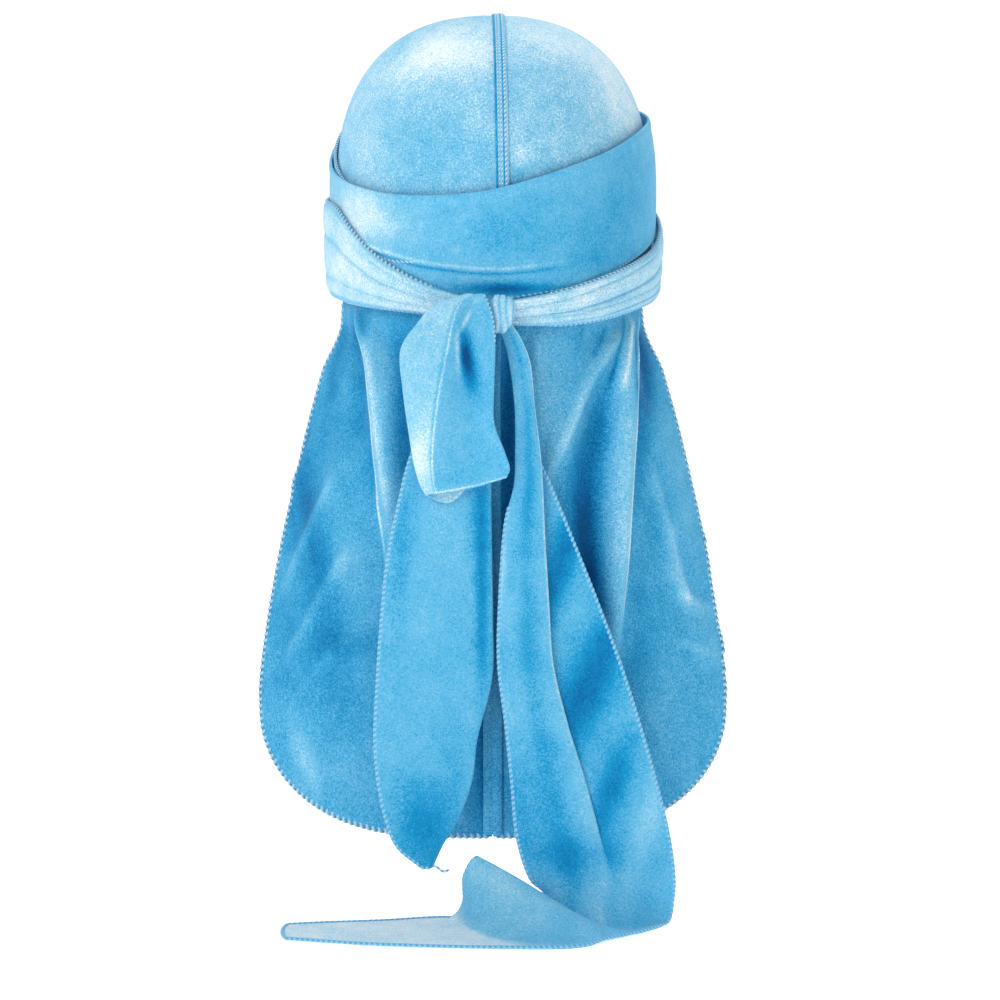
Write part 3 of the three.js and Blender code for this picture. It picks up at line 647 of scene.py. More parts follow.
def patches(points, spots):
    """Sum of soft ovals on the view from behind: each spot has x, z, two sizes, a turn and a tone."""
    total = np.zeros(points.shape[:-1])
    for x, z, wide, tall, turn, tone in spots:
        dx, dz = points[..., 0] - x, points[..., 2] - z
        c, s = np.cos(np.radians(turn)), np.sin(np.radians(turn))
        total += tone * np.exp(-(((dx * c + dz * s) / wide) ** 2) - ((dz * c - dx * s) / tall) ** 2)
    return total


def cap_panel(side, u, v):
    """Head form at azimuth 180 u and level hem x v to the 1.8, moved in to the seam and puckered."""
    azimuth = side * 180.0 * u[None, :]
    level = cap_hem_level(azimuth) * v[:, None] ** ROW_SPREAD
    away = np.abs(HALF_WIDTH * girth(level) * np.sin(np.radians(azimuth)))
    azimuth, level = shift_middle(azimuth, level)
    point = head_point(azimuth, level, layer_lift(0))
    point[..., 0] += side * CLOTH / 2 * (1 - away / HALF_WIDTH)
    run = np.arctan2(-point[..., 1], point[..., 2] + SEAM_RADIUS) * SEAM_RADIUS
    wave = np.sin(2 * np.pi * run / PUCKER_PITCH + 1.5 * np.sin(run / 11.0))
    pucker = PUCKER * bump(away - PUCKER_OFFSET, PUCKER_FLANK) * wave
    return point + head_normal(azimuth, level) * pucker[..., None]


# Painted highlights high on both sides of the cap and at its left rim, painted shade low on the left, and
# painted light and shade of a small dimple beside the seam.
CAP_TONES = {
    "left": [
        (-14, -18, 28, 15, 20, 0.18),
        (-36, -22, 22, 10, 30, 0.12),
        (-62, -62, 7, 34, 0, 0.05),
        (-26, -70, 24, 20, 12, -0.12),
    ],
    "right": [
        (26, -10, 40, 14, -14, 0.17),
        (62, -42, 12, 28, 20, 0.18),
        (12.9, -67.6, 5, 4, 0, 0.14),
        (9.6, -80.3, 3.3, 4.2, 0, -0.2),
        (15, -77.5, 7.5, 1.9, 20, -0.1),
    ],
}
for side, side_name in SIDES:
    surface = cap_panel(side, evenly(120), evenly(90))
    nap_and_shading = CAP_NAP + patches(surface, CAP_TONES[side_name])
    panel = make_cloth("cap_panel_" + side_name, surface, nap_and_shading, flipped=side < 0, pole=True)
    dress(panel, body_velvet, "velvet", "cap_" + side_name)


# %% [markdown]
# ## Where the ties run
#
# The crown seam ends under the ties, so their way round the head comes first. Each row is a
# station: a turn, the level of the tie's middle there, and its width. Levels are shares of
# the nape level, or of the knot level on the way back, and widths are shares of the full
# width. Both ties share the rows where they cross at the brow.

# %% Stations of the ties
LEFT_START = [
    (-126, 0.44, 0.5),
    (-100, 0.52, 0.5),
    (-78, 0.61, 0.44),
    (-60, 0.68, 0.42),
    (-34, 0.74, 0.46),
    (0, 0.745, 0.52),
]
RIGHT_START = [
    (-126, 0.44, 0.54),
    (-73, 0.547, 0.62),
    (-34, 0.663, 0.63),
    (0, 0.735, 0.568),
    (22, 0.748, 0.55),
]
CROSS = [
    (45, 0.73, 0.54),
    (75, 0.66, 0.52),
    (96, 0.58, 0.5),
    (120, 0.43, 0.42),
    (150, 0.313, 0.32),
    (180, 0.413, 0.36),
    (210, 0.533, 0.31),
]
LEFT_RETURN = [
    (240, 0.685, 0.36),
    (262, 0.76, 0.44),
    (280, 0.79, 0.49),
    (294, 0.81, 0.48),
    (306, 0.856, 0.38),
    (318, 0.9, 0.27),
    (337, 0.953, 0.15),
    (356, 0.992, 0.09),
]
RIGHT_RETURN = [
    (240, 0.72, 0.38),
    (262, 0.8, 0.36),
    (275, 0.84, 0.34),
    (287, 0.88, 0.285),
    (302, 0.913, 0.25),
    (322, 0.958, 0.215),
    (338, 0.985, 0.17),
    (356, 1.0, 0.115),
]
RETURN_TURN = 225.0


def tie_stations(start_rows, back_rows):
    """One tie in millimetres: level = share x nape level, or x knot level on the way back."""
    turn, middle, width = np.array(start_rows + CROSS + back_rows, dtype=float).T
    reach = np.where(turn > RETURN_TURN, KNOT_LEVEL, NAPE_LEVEL)
    return {"turn": turn, "middle": middle * reach, "width": width * TIE_WIDTH}


STATIONS = {
    "left": tie_stations(LEFT_START, LEFT_RETURN),
    "right": tie_stations(RIGHT_START, RIGHT_RETURN),
}


def band_edge(turn):
    """Level of the crossing band's upper edge at a turn: its middle less half its width."""
    stations = STATIONS["right"]
    return read(stations, "turn", "middle", turn) - read(stations, "turn", "width", turn) / 2


print("stations of the ties:", {name: len(rows["turn"]) for name, rows in STATIONS.items()})

# %% [markdown]
# ## The seam over the crown
#
# This cap is worn with its seam out. The seam allowance is a narrow strip, and three rows
# of thread show on it. Each row is a thin rope whose turns look like small even stitches.

# %% Crown seam
SEAM_CLEARANCE = 0.15
THREAD_CLEARANCE = 0.1
SEAM_END_TUCK = 1.5
SEAM_COLUMNS = 24
SEAM_ROWS = (("left", -1.5, 0.26), ("middle", -0.2, 0.26), ("right", 1.7, 0.45))
SEAM_PITCH = 2.3
SEAM_ROW_HEIGHT = 0.24


def seam_line(v, across, lift):
    """Line over the crown, from the brow band to the back band, at an offset to the side."""
    along = mix(-1.0, 1.0, v)
    brow, back = band_edge(180.0) - EDGE_GAP, band_edge(0.0) - EDGE_GAP + SEAM_END_TUCK
    end = np.where(along < 0, brow, back)
    azimuth = np.where(along < 0, 180.0, 0.0)
    point = head_point(azimuth, end * np.abs(along) ** ROW_SPREAD, lift)
    point[..., 0] = across + SEAM_OFFSET + SEAM_LEAN * np.clip(along, 0, 1)
    return point


def seam_strip(u, v):
    """Strip over the crown. Its lift adds a low ridge right of its middle and sinks at the left edge."""
    across = mix(-1.0, 1.0, u)[None, :]
    ridge = 0.3 * bump(across - 0.2, 0.25) - 0.1 * bump(across + 0.9, 0.2)
    flat = np.broadcast_to(v[:, None], (len(v), len(u)))
    lift = CLOTH + SEAM_CLEARANCE + SEAM_CLOTH / 2 + ridge
    return seam_line(flat, across * CROWN_SEAM_WIDTH / 2, np.broadcast_to(lift, flat.shape))


across_seam = mix(-1, 1, evenly(SEAM_COLUMNS))[None, :]
# Painted shade: a dark line in the sunk left edge of the strip and another on the right flank of its ridge.
seam_shading = 0.74 - 0.5 * bump(across_seam + 0.92, 0.12) - 0.4 * bump(across_seam - 0.3, 0.12)
strip = seam_strip(evenly(SEAM_COLUMNS), evenly(260))
crown = make_cloth("crown_seam_strip", strip, seam_shading, thick=SEAM_CLOTH)
dress(crown, tie_velvet, "stitching", "crown_seam")
for row_name, offset, half in SEAM_ROWS:
    line = seam_line(evenly(520), offset, CLOTH + SEAM_CLEARANCE + SEAM_CLOTH + THREAD_CLEARANCE)
    out = line - seam_line(evenly(520), offset, 0.0)
    shape = (half, SEAM_ROW_HEIGHT), SEAM_PITCH, 0.5, 8
    sew("crown_stitches_" + row_name, line, out, seam_thread, "stitching", *shape)

# %% [markdown]
# ## The band on the brow
#
# A narrow double strip finishes the front of the cap from temple to temple. Little of it
# shows under the ties, so it is a plain strip on the head form.

# %% Forehead band
FOREHEAD_REACH = 72.0


def forehead_strip(u, v):
    """Strip under the front hem, as wide as the band, on the head form."""
    azimuth = mix(180.0 + FOREHEAD_REACH, 180.0 - FOREHEAD_REACH, u)[None, :]
    hem = cap_hem_level(np.where(azimuth > 180, 360 - azimuth, azimuth))
    return head_point(azimuth, hem + EDGE_GAP + FOREHEAD_BAND * v[:, None], layer_lift(0))


forehead = make_cloth("forehead_strip", forehead_strip(evenly(160), evenly(14)), 0.6)
dress(forehead, body_velvet, "velvet", "forehead_band")

# %% [markdown]
# ## The wrapped ties
#
# Each tie starts at its own temple, crosses the back of the head, meets the other at the
# brow, passes it there, and comes back along its own side to the knot. The right tie goes
# over the left one at the back. On the way back each tie gathers to a narrow rope, so its
# width folds into ridges with sharp grooves between them. A simulation of 1.5 m of velvet
# round a head would take long and land anywhere, so the bands are laid by their stations.

# %% Wrap surfaces
WRAP_START = -120.0
WRAP_END = 356.0
OVERTAKE_TURN = 204.0
OVERTAKE_SPAN = 12.0
GATHER_TURN = 240.0
GATHER_SPAN = 40.0
GROOVE_FLANK = 0.05
GROOVE_TURNS = (250.0, 290.0, 318.0, 353.0)
LEFT_GROOVES = [
    (0.02, 0.1, 0.16, 0.26, 0.3),
    (0.3, 0.38, 0.46, 0.52, 0.6),
    (0.8, 0.8, 0.78, 0.8, 0.5),
]
RIGHT_GROOVES = [
    (0.1, 0.1, 0.16, 0.36, 0.6),
    (0.4, 0.5, 0.56, 0.7, 1.0),
    (0.8, 0.72, 0.7, 0.8, 0.5),
    (0.86, 0.88, 0.9, 0.93, 0.7),
]
PLEAT_TURNS = (-30.0, -6.0, 5.0, 14.0, 25.0, 37.0, 54.0)
PLEAT_PLACES = (0.78, 0.74, 0.7, 0.66, 0.62, 0.56, 0.52)


def gathered(turn, u, grooves):
    """Puffs between grooves: 1 less depth x e to the minus (distance over flank) at each groove."""
    puff = np.ones(np.broadcast(turn, u).shape)
    for *places, depth in grooves:
        off = np.abs(u - np.interp(turn, GROOVE_TURNS, places))
        puff = puff * (1 - depth * np.exp(-off / GROOVE_FLANK))
    inside = smooth(u * 12) * smooth((1 - u) * 12)
    tight = smooth((turn - 296) / 50)
    fine = mix(0.03, 0.08, tight) * np.sin(2 * np.pi * (9 * u + 0.5 * np.sin(turn / 13.0) + turn / 90.0))
    return smooth((turn - GATHER_TURN) / GATHER_SPAN) * inside * (puff + fine)


def wrap_surface(side, layer, return_layer, stations, relief, u, v):
    """Band on the head form: the level runs over its width and the lift adds layer and folds."""
    turn = mix(WRAP_START, WRAP_END, v)[:, None]
    u = u[None, :]
    overtaken = smooth((turn - OVERTAKE_TURN) / OVERTAKE_SPAN)
    middle = read(stations, "turn", "middle", turn)
    width = read(stations, "turn", "width", turn)
    lift = mix(layer_lift(layer), layer_lift(return_layer), overtaken) + relief(turn, u)
    return head_point(-side * turn, middle + width * (u - 0.5), lift), turn, u


def left_wrap_relief(turn, u):
    """Gathered ridges on the way back and a rolled edge on top."""
    return PLEAT * gathered(turn, u, LEFT_GROOVES) + 0.3 * bump(u - 0.02, 0.05)


def off_pleat(turn, u):
    """Share of the band's width between a place and the long pleat, downwards."""
    return u - np.interp(turn, PLEAT_TURNS, PLEAT_PLACES)


def pleat_window(turn):
    """Where the long pleat shows, between the side of the head and the knot."""
    return smooth((turn + 34) / 30) * smooth((66 - turn) / 26)


def right_wrap_relief(turn, u):
    """A long pleat with a steep lower side, a crease, a rolled edge, and ridges on the way back."""
    off = off_pleat(turn, u)
    pleat = 0.6 * np.where(off < 0, bump(off, 0.14), bump(off, 0.03)) + 0.45 * bump(off, 0.022)
    pleat = pleat + 0.25 * bump(off + 0.13, 0.02) + 0.2 * bump(off - 0.12, 0.02)
    crease = 0.35 * bump(u - 0.13 - 0.004 * turn, 0.03) * smooth((turn + 6) / 12) * smooth((46 - turn) / 16)
    roll = 0.55 * bump(u - 0.03, 0.04) * smooth((170 - turn) / 30)
    return pleat_window(turn) * pleat + crease + roll + PLEAT * gathered(turn, u, RIGHT_GROOVES)


print("the ties run from turn", WRAP_START, "to", WRAP_END)

# %% [markdown]
# A band is paler on the way back, with painted shade deep in its grooves, and on the right
# a painted highlight on the crest of the long pleat with painted shade below it. Soft ovals of
# tone stand for the larger crushed patches and also paint highlights and shade, among them a
# painted shadow under the right band at the back.

# %% Left and right wraps
WRAP_NAP = 0.65
# Soft ovals of tone: painted highlights and shade, with a painted shadow under the right band at the back.
WRAP_TONES = {
    "left": [(-72, -112, 12, 34, 0, 0.1), (-40, -138, 34, 8, -22, 0.08), (-71, -66, 5, 16, 0, -0.2)],
    "right": [
        (-66, -94, 15, 18, 0, 0.26),
        (-50, -101, 13, 8, -20, 0.12),
        (64, -92, 18, 26, 0, -0.12),
        (-4, -108, 34, 14, 0, -0.07),
        (36, -104, 32, 20, 0, -0.12),
        (50, -118, 26, 6, 15, -0.08),
        (8, -130.5, 22, 3.0, 0, -0.5),
    ],
}
wrap_pieces = {}
for side, side_name, layer, return_layer, relief, grooves, paler in (
    (-1, "left", 1, LEFT_RETURN_LAYER, left_wrap_relief, LEFT_GROOVES, 0.12),
    (1, "right", 2, RIGHT_RETURN_LAYER, right_wrap_relief, RIGHT_GROOVES, 0.17),
):
    places = evenly(96), evenly(420)
    surface, turn, across = wrap_surface(side, layer, return_layer, STATIONS[side_name], relief, *places)
    back_again = smooth((turn - 236) / 30)
    # Painted shade deep in the grooves of the gathered returns.
    groove_shade = (gathered(turn, across, grooves) - 0.7) * back_again
    nap_and_shading = WRAP_NAP + paler * back_again + 0.2 * groove_shade
    tones = patches(surface, WRAP_TONES[side_name])
    if side > 0:
        off = off_pleat(turn, across)
        # Painted highlight along the crest of the long pleat and painted shade just below it.
        nap_and_shading = nap_and_shading + pleat_window(turn) * (0.16 * bump(off + 0.005, 0.014) - 0.2 * bump(off - 0.04, 0.02))
        tones = tones * (1 - back_again)
    band = make_cloth(side_name + "_tie_band", surface, nap_and_shading + tones, flipped=side < 0)
    dress(band, tie_velvet, "tie_velvet", side_name + "_tie_wrap")
    wrap_pieces[side_name] = (band, surface)


# %% [markdown]
# The bands' cut edges are overlocked too. The left band has a hem along both edges. The
# right one has it along its lower edge, and along the upper one only where it comes back,
# because that edge is rolled in at the back of the head.

# %% Hems of the wraps
BAND_HEM = (0.9, 0.8), 2.8, 0.18


def edge_of(surface, column, start=0.0, end=1.0):
    """Edge of a surface as a path, with the way out of its face beside it."""
    first, last = int(start * (len(surface) - 1)), int(end * (len(surface) - 1)) + 1
    return surface[first:last, column], face_normal(surface)[first:last, column]


wrap_hems = {"left": [], "right": []}
for side_name, edge_name, column, start in (
    ("left", "lower", -1, 0.0),
    ("left", "upper", 0, 0.0),
    ("right", "lower", -1, 0.0),
    ("right", "upper", 0, 0.72),
):
    line, out = edge_of(wrap_pieces[side_name][1], column, start, 0.97)
    out = out if side_name == "right" else -out
    hem_name = f"{side_name}_tie_band_hem_{edge_name}"
    hem_material = hem_thread if edge_name == "lower" else cape_thread
    wrap_hems[side_name].append(sew(hem_name, line, out, hem_material, "tie_velvet", *BAND_HEM))


# %% [markdown]
# A short run of stitches shows under the long pleat at the left, where the tie was sewn on.

# %% Stitches under the pleat
DASH_TURNS = (26.0, 38.0, 49.0)
DASH_PLACES = (0.625, 0.635, 0.575)
DASHES = (0.34, 0.26), 2.8, 0.85, 8


def dash_line(lift):
    """Line on the right tie's crossing, through three measured places, at a lift above it."""
    turn = mix(DASH_TURNS[0], DASH_TURNS[-1], evenly(160))
    place = np.interp(turn, DASH_TURNS, DASH_PLACES)
    level = band_edge(turn) + read(STATIONS["right"], "turn", "width", turn) * place
    relief = right_wrap_relief(turn[:, None], place[:, None])[:, 0]
    return head_point(-turn, level, layer_lift(2) + relief + lift)


line = dash_line(CLOTH / 2 + 0.12)
out = line - dash_line(0.0)
wrap_hems["right"].append(sew("right_tie_band_stitches", line, out, seam_thread, "tie_velvet", *DASHES))

# %% [markdown]
# ## The cape
#
# The cape hangs from the nape in two panels joined down the middle. It is one long free
# drape with a few folds that start at the gathered nape and fade on the way down. Each fold
# is a bell-shaped ridge or valley along a line, with two flanks of its own, so a steep fold
# can stand beside a soft one. Finer wrinkles are added to the CAD model's main folds, and
# a third table of such lines only paints highlights and shade along them. Folds and
# wrinkles also paint their own shading into the colour: paler on crests, deeper in valleys.

# %% Cape folds
CAPE_BELLY = 2.2
CORNER_ROUND = 2.5
GATHER_PITCH = 8.5
GATHER_HEIGHT = 0.8
GATHER_REACH = 22.0
CAPE_PLAN = table(
    "drop half side middle",
    [
        (0, 0.66, 0.27, 0.98),
        (0.1, 0.735, 0.31, 0.995),
        (0.27, 0.828, 0.38, 1.0),
        (0.51, 0.935, 0.45, 0.985),
        (0.74, 1.0, 0.5, 0.965),
        (1.0, 1.0, 0.5, 0.955),
    ],
)
CAPE_FOLDS = [
    (-0.505, -0.02, -0.355, 0.55, 0.045, 0.06, 0.5),
    (-0.58, 0.0, -0.56, 0.26, 0.05, 0.045, -0.4),
    (-0.43, 0.0, -0.4, 0.3, 0.045, 0.045, 0.3),
    (-0.35, 0.0, -0.32, 0.35, 0.045, 0.07, -0.5),
    (-0.57, 0.22, -0.84, 0.6, 0.08, 0.07, 0.4),
    (-0.5, 0.33, -0.74, 0.62, 0.07, 0.07, 0.3),
    (-0.86, 0.66, -0.46, 0.62, 0.08, 0.08, 0.35),
    (0.55, 0.0, 0.48, 0.68, 0.08, 0.045, 0.8),
    (0.49, 0.0, 0.26, 0.26, 0.055, 0.055, 0.5),
    (0.45, 0.12, 0.4, 0.68, 0.09, 0.055, -0.65),
    (0.66, 0.18, 0.86, 0.5, 0.07, 0.07, 0.3),
    (0.84, 0.6, 0.95, 0.68, 0.06, 0.06, 0.25),
    (0.16, 0.0, 0.21, 0.22, 0.05, 0.05, 0.3),
    (0.06, 0.08, 0.1, 0.75, 0.06, 0.06, -0.35),
]
CAPE_WRINKLES = [
    (-0.532, -0.014, -0.44, 0.455, 0.009, 0.06, 0.24),
    (0.606, 0.0, 0.526, 0.56, 0.08, 0.009, 0.32),
    (0.53, -0.01, 0.5, 0.12, 0.014, 0.02, 0.18),
    (0.575, -0.01, 0.57, 0.1, 0.014, 0.02, -0.18),
    (0.47, 0.02, 0.25, 0.27, 0.03, 0.012, 0.14),
    (-0.66, 0.3, -0.88, 0.52, 0.02, 0.036, 0.18),
    (-0.6, 0.44, -0.86, 0.66, 0.02, 0.04, 0.16),
    (-0.5, 0.56, -0.84, 0.74, 0.02, 0.04, 0.14),
    (-0.74, 0.2, -0.86, 0.34, 0.016, 0.03, 0.12),
    (-0.62, 0.02, -0.72, 0.2, 0.025, 0.03, -0.07),
    (0.66, 0.28, 0.84, 0.58, 0.034, 0.018, 0.16),
    (0.74, 0.48, 0.93, 0.6, 0.034, 0.018, 0.14),
    (0.72, 0.4, 0.9, 0.44, 0.02, 0.02, 0.1),
    (0.86, 0.64, 0.98, 0.7, 0.016, 0.02, 0.08),
    (0.62, 0.02, 0.66, 0.16, 0.02, 0.024, -0.12),
    (0.3, 0.02, 0.2, 0.4, 0.024, 0.024, 0.08),
    (0.6, 0.7, 0.74, 0.86, 0.03, 0.03, 0.07),
]
# Painted highlights along fold crests and painted shade along their flanks and valleys.
CAPE_SHADING_LINES = [
    (-0.532, -0.014, -0.44, 0.455, 0.006, 0.007, 0.42),
    (-0.556, 0.0, -0.465, 0.34, 0.06, 0.012, -0.2),
    (-0.66, 0.0, -0.7, 0.16, 0.02, 0.03, -0.16),
    (0.535, -0.02, 0.51, 0.13, 0.012, 0.012, 0.26),
    (0.49, -0.02, 0.475, 0.12, 0.01, 0.01, -0.28),
    (0.573, -0.02, 0.56, 0.14, 0.01, 0.01, -0.42),
    (0.4, 0.0, 0.39, 0.06, 0.012, 0.012, -0.16),
    (0.3, 0.0, 0.31, 0.06, 0.012, 0.012, -0.12),
    (-0.505, 0.0, -0.42, 0.36, 0.018, 0.02, 0.16),
    (0.606, 0.0, 0.526, 0.56, 0.009, 0.006, 0.5),
    (0.625, 0.0, 0.56, 0.42, 0.008, 0.05, -0.16),
    (0.46, 0.02, 0.25, 0.27, 0.03, 0.012, 0.12),
    (-0.66, 0.3, -0.88, 0.52, 0.014, 0.03, 0.12),
    (-0.6, 0.44, -0.86, 0.66, 0.014, 0.03, 0.1),
    (0.66, 0.28, 0.84, 0.58, 0.03, 0.014, 0.1),
    (0.79, 0.53, 0.98, 0.585, 0.03, 0.012, 0.14),
]


def fold_relief(x, drop, folds):
    """Sum over the folds: height x bell of the distance off the fold's line, eased at its ends.

    A row has the line's start and end, each as shares of half the width and of the drop, then
    its left and right flank as shares of half the width, and its height.
    """
    relief = np.zeros(np.broadcast(x, drop).shape)
    for across, down, across_end, down_end, left, right, height in folds:
        start = np.array([across * CAPE_HALF_WIDTH, down * CAPE_DROP])
        run = np.array([across_end * CAPE_HALF_WIDTH, down_end * CAPE_DROP]) - start
        length = np.hypot(*run)
        along = ((x - start[0]) * run[0] + (drop - start[1]) * run[1]) / length**2
        off = ((x - start[0]) * run[1] - (drop - start[1]) * run[0]) / length
        flank = np.where(off < 0, left, right) * CAPE_HALF_WIDTH
        ends = smooth((along + 0.12) / 0.24) * smooth((1.15 - along) / 0.4)
        relief = relief + height * ends * bump(off, flank)
    return relief * FOLD_DEPTH


def corner_rise(share):
    """Height of the bottom hem over its lowest point: a rounded corner at each side."""
    flat = 1 - CAPE_CORNER_WIDTH / CAPE_HALF_WIDTH
    into = np.clip((np.abs(share) - flat) / (1 - flat), 0.0, 1.0)
    return CAPE_CORNER_HEIGHT * (1 - (1 - into**CORNER_ROUND) ** (1 / CORNER_ROUND))


def cape_surface(share, down):
    """From the nape hem to the bottom hem: the plan widens by its table and folds push it out."""
    azimuth = share * CAPE_ANGLE
    hem = head_point(azimuth, cap_hem_level(azimuth) + EDGE_GAP, layer_lift(0))
    bottom = NAPE_LEVEL + CAPE_DROP - corner_rise(share)
    level = mix(-hem[..., 2], bottom, down)
    drop = (level - NAPE_LEVEL) / CAPE_DROP
    x = CAPE_HALF_WIDTH * read(CAPE_PLAN, "drop", "half", drop) * share
    near = HALF_LENGTH * read(CAPE_PLAN, "drop", "middle", drop)
    side_y = HALF_LENGTH * read(CAPE_PLAN, "drop", "side", drop)
    y = -near + (near - side_y) * np.abs(share) ** CAPE_BELLY
    below = level - (NAPE_LEVEL - 2.0 - 15.0 * (azimuth / 80) ** 2)
    free = smooth(below / (CAPE_TOP_BLEND * CAPE_DROP))
    folds, wrinkles, shades = [
        fold_relief(x, level - NAPE_LEVEL, rows) for rows in (CAPE_FOLDS, CAPE_WRINKLES, CAPE_SHADING_LINES)
    ]
    wave = np.sin(2 * np.pi * azimuth / GATHER_PITCH + 2.0 * np.sin(azimuth / 13.0))
    gathers = GATHER_HEIGHT * wave * np.exp(-np.maximum(below, 0) / GATHER_REACH)
    relief = smooth(below / 9) * (mix(0.35, 1.0, free) * folds + wrinkles + gathers)
    outward = np.radians(share * 55)
    out_x = mix(hem[..., 0], x, free) + relief * np.sin(outward)
    out_y = mix(hem[..., 1], y, free) - relief * np.cos(outward)
    # Painted shading from the relief: paler on crests, deeper in valleys, plus the lines of painted
    # highlight and shade.
    fold_shading = 0.02 * folds + 0.04 * wrinkles + shades / FOLD_DEPTH
    return np.stack([out_x, out_y, -level], axis=-1), fold_shading


print("folds, wrinkles and shades:", len(CAPE_FOLDS), len(CAPE_WRINKLES), len(CAPE_SHADING_LINES))

# %% Cape panels and their hem
# Soft ovals of tone, largely painted shade: the painted shadow in the gap between the tails, down the
# middle and in the deep valleys, with some paler streaks.
CAPE_TONES = {
    "left": [
        (-42, -184, 5.7, 38, -3, -0.2),
        (-63, -150, 3.8, 10, 0, -0.3),
        (-88, -250, 10, 60, 12, -0.38),
        (-74, -215, 10, 34, 14, -0.1),
        (-94, -241, 2.9, 43, 14, 0.1),
        (-73, -260, 14, 40, 20, 0.02),
        (-68, -301, 24, 7, 8, -0.12),
        (-91, -358, 5, 19, 20, 0.18),
        (-96, -300, 14, 30, 14, -0.12),
        (-73, -368, 24, 16, -15, 0.06),
        (-3, -320, 6, 80, 0, -0.4),
    ],
    "right": [
        (7, -198, 5.7, 52, 0, -0.4),
        (25, -170, 12, 24, 0, 0.06),
        (45, -262, 8, 52, 4, -0.48),
        (52, -193, 6, 28, -6, -0.2),
        (73, -172, 7, 30, 0, -0.3),
        (86, -262, 5, 14, 0, 0.08),
        (80, -244, 8, 22, 6, -0.14),
        (70, -303, 9, 33, 0, -0.12),
        (98, -305, 12, 2.4, -22, 0.12),
        (37, -203, 5, 24, -30, 0.08),
    ],
}
CAPE_HEM = (1.6, 1.35), 3.2, 0.24
HEM_OUT = 0.5
HEM_ASIDE = 0.2
SEAM_HALF_GAP = 0.9
places = mix(SEAM_HALF_GAP / CAPE_HALF_WIDTH, 1.0, evenly(150))
for side, side_name in SIDES:
    surface, fold_shading = cape_surface(*np.meshgrid(places * side, evenly(260)))
    nap_and_shading = 0.5 + fold_shading + patches(surface, CAPE_TONES[side_name])
    panel = make_cloth("cape_panel_" + side_name, surface, nap_and_shading, flipped=side < 0)
    dress(panel, body_velvet, "velvet", "cape_" + side_name)
    line, out = [
        np.concatenate([part[:, -1], part[-1, ::-1][1:]]) for part in (surface, face_normal(surface) * side)
    ]
    line = line + out * HEM_OUT + np.array([side * HEM_ASIDE, 0.0, 0.0])
    hem = sew("cape_hem_" + side_name, line, out, cape_thread, "velvet", *CAPE_HEM)


# %% [markdown]
# The cape's middle seam is a velvet strip just outside the cloth, with two soft ridges.

# %% Cape seam
def cape_seam_surface(u, v):
    """Strip just outside the cape's middle, following its folds, with a ridge at each half."""
    across, down = np.broadcast_arrays(mix(-1.0, 1.0, u)[None, :], mix(0.012, 0.995, v)[:, None])
    point, _ = cape_surface(across * SEAM_WIDTH / 2 / CAPE_HALF_WIDTH, down)
    ridge = 0.6 * np.abs(np.sin(np.pi * across))
    point[..., 1] -= CLOTH + EDGE_GAP + ridge
    return point


strip = make_cloth("cape_seam_strip", cape_seam_surface(evenly(12), evenly(200)), 0.5)
dress(strip, body_velvet, "stitching", "cape_seam")

# %% [markdown]
# ## The knot
#
# Both ties meet low at the back in one small tight knot. It is a short bundle of cloth with
# diagonal gathers, so it is a boxy rounded form whose radius swells between the grooves.

# %% Knot
KNOT_COLUMNS = 120
KNOT_ROWS = 70
KNOT_CLOTH = (0.04, 0.02)
returning_face = layer_lift(RIGHT_RETURN_LAYER) + CLOTH / 2 + PLEAT
knot_back = head_point(0.0, KNOT_LEVEL, returning_face)[1]
knot_middle = knot_back - KNOT_SIZE[1] / 2


def knot_surface(u, v):
    """Boxy ball: direction divided by its cubic norm, sunk in grooves that run across it."""
    turn, tilt = np.meshgrid(2 * np.pi * u, np.pi * v)
    x = -np.cos(turn) * np.sin(tilt)
    y = np.sin(turn) * np.sin(tilt)
    z = np.cos(tilt)
    boxy = np.cbrt(np.abs(x) ** 3 + np.abs(y) ** 3 + np.abs(z) ** 3)
    groove = np.abs(np.sin(6.6 * x + 2.6 * z + 0.6 * np.sin(3 * z))) ** 0.5
    fine = 0.015 * np.sin(26 * x + 9 * z)
    reach = (0.93 + 0.07 * groove + fine) / boxy
    x, y, z = np.moveaxis(np.stack([x, y, z], axis=-1) * reach[..., None] * KNOT_SIZE / 2, -1, 0)
    c, s = np.cos(KNOT_TILT), np.sin(KNOT_TILT)
    turned = np.stack([x * c + z * s, y, z * c - x * s], axis=-1)
    return turned + np.array([KNOT_OFFSET, knot_middle, -KNOT_LEVEL]), groove


places = evenly(KNOT_COLUMNS), evenly(KNOT_ROWS)
points, groove = knot_surface(*places)
uv = np.stack(np.meshgrid(*places), axis=-1) * KNOT_CLOTH
quads = sheet_quads(KNOT_ROWS + 1, KNOT_COLUMNS + 1)
# Painted shade in the knot's grooves: the tone is deeper where the radius sinks.
knot = add_mesh("knot_bundle", points.reshape(-1, 3), quads, 0.58 + 0.26 * groove, uv)
dress(knot, tie_velvet, "tie_velvet", "knot")
print("knot bundle:", len(knot.data.polygons), "faces")

# %% [markdown]
# ## The half bow
#
# One tie is pulled through the knot only half way, so it hangs as a loop. The section of a
# loop is a flat fold: a back layer, the fold at the left, and a front layer with a crease,
# a dent and a hemmed right edge. Sections at several drops, joined by smooth curves, give
# the loop that the cloth makes under its own weight.

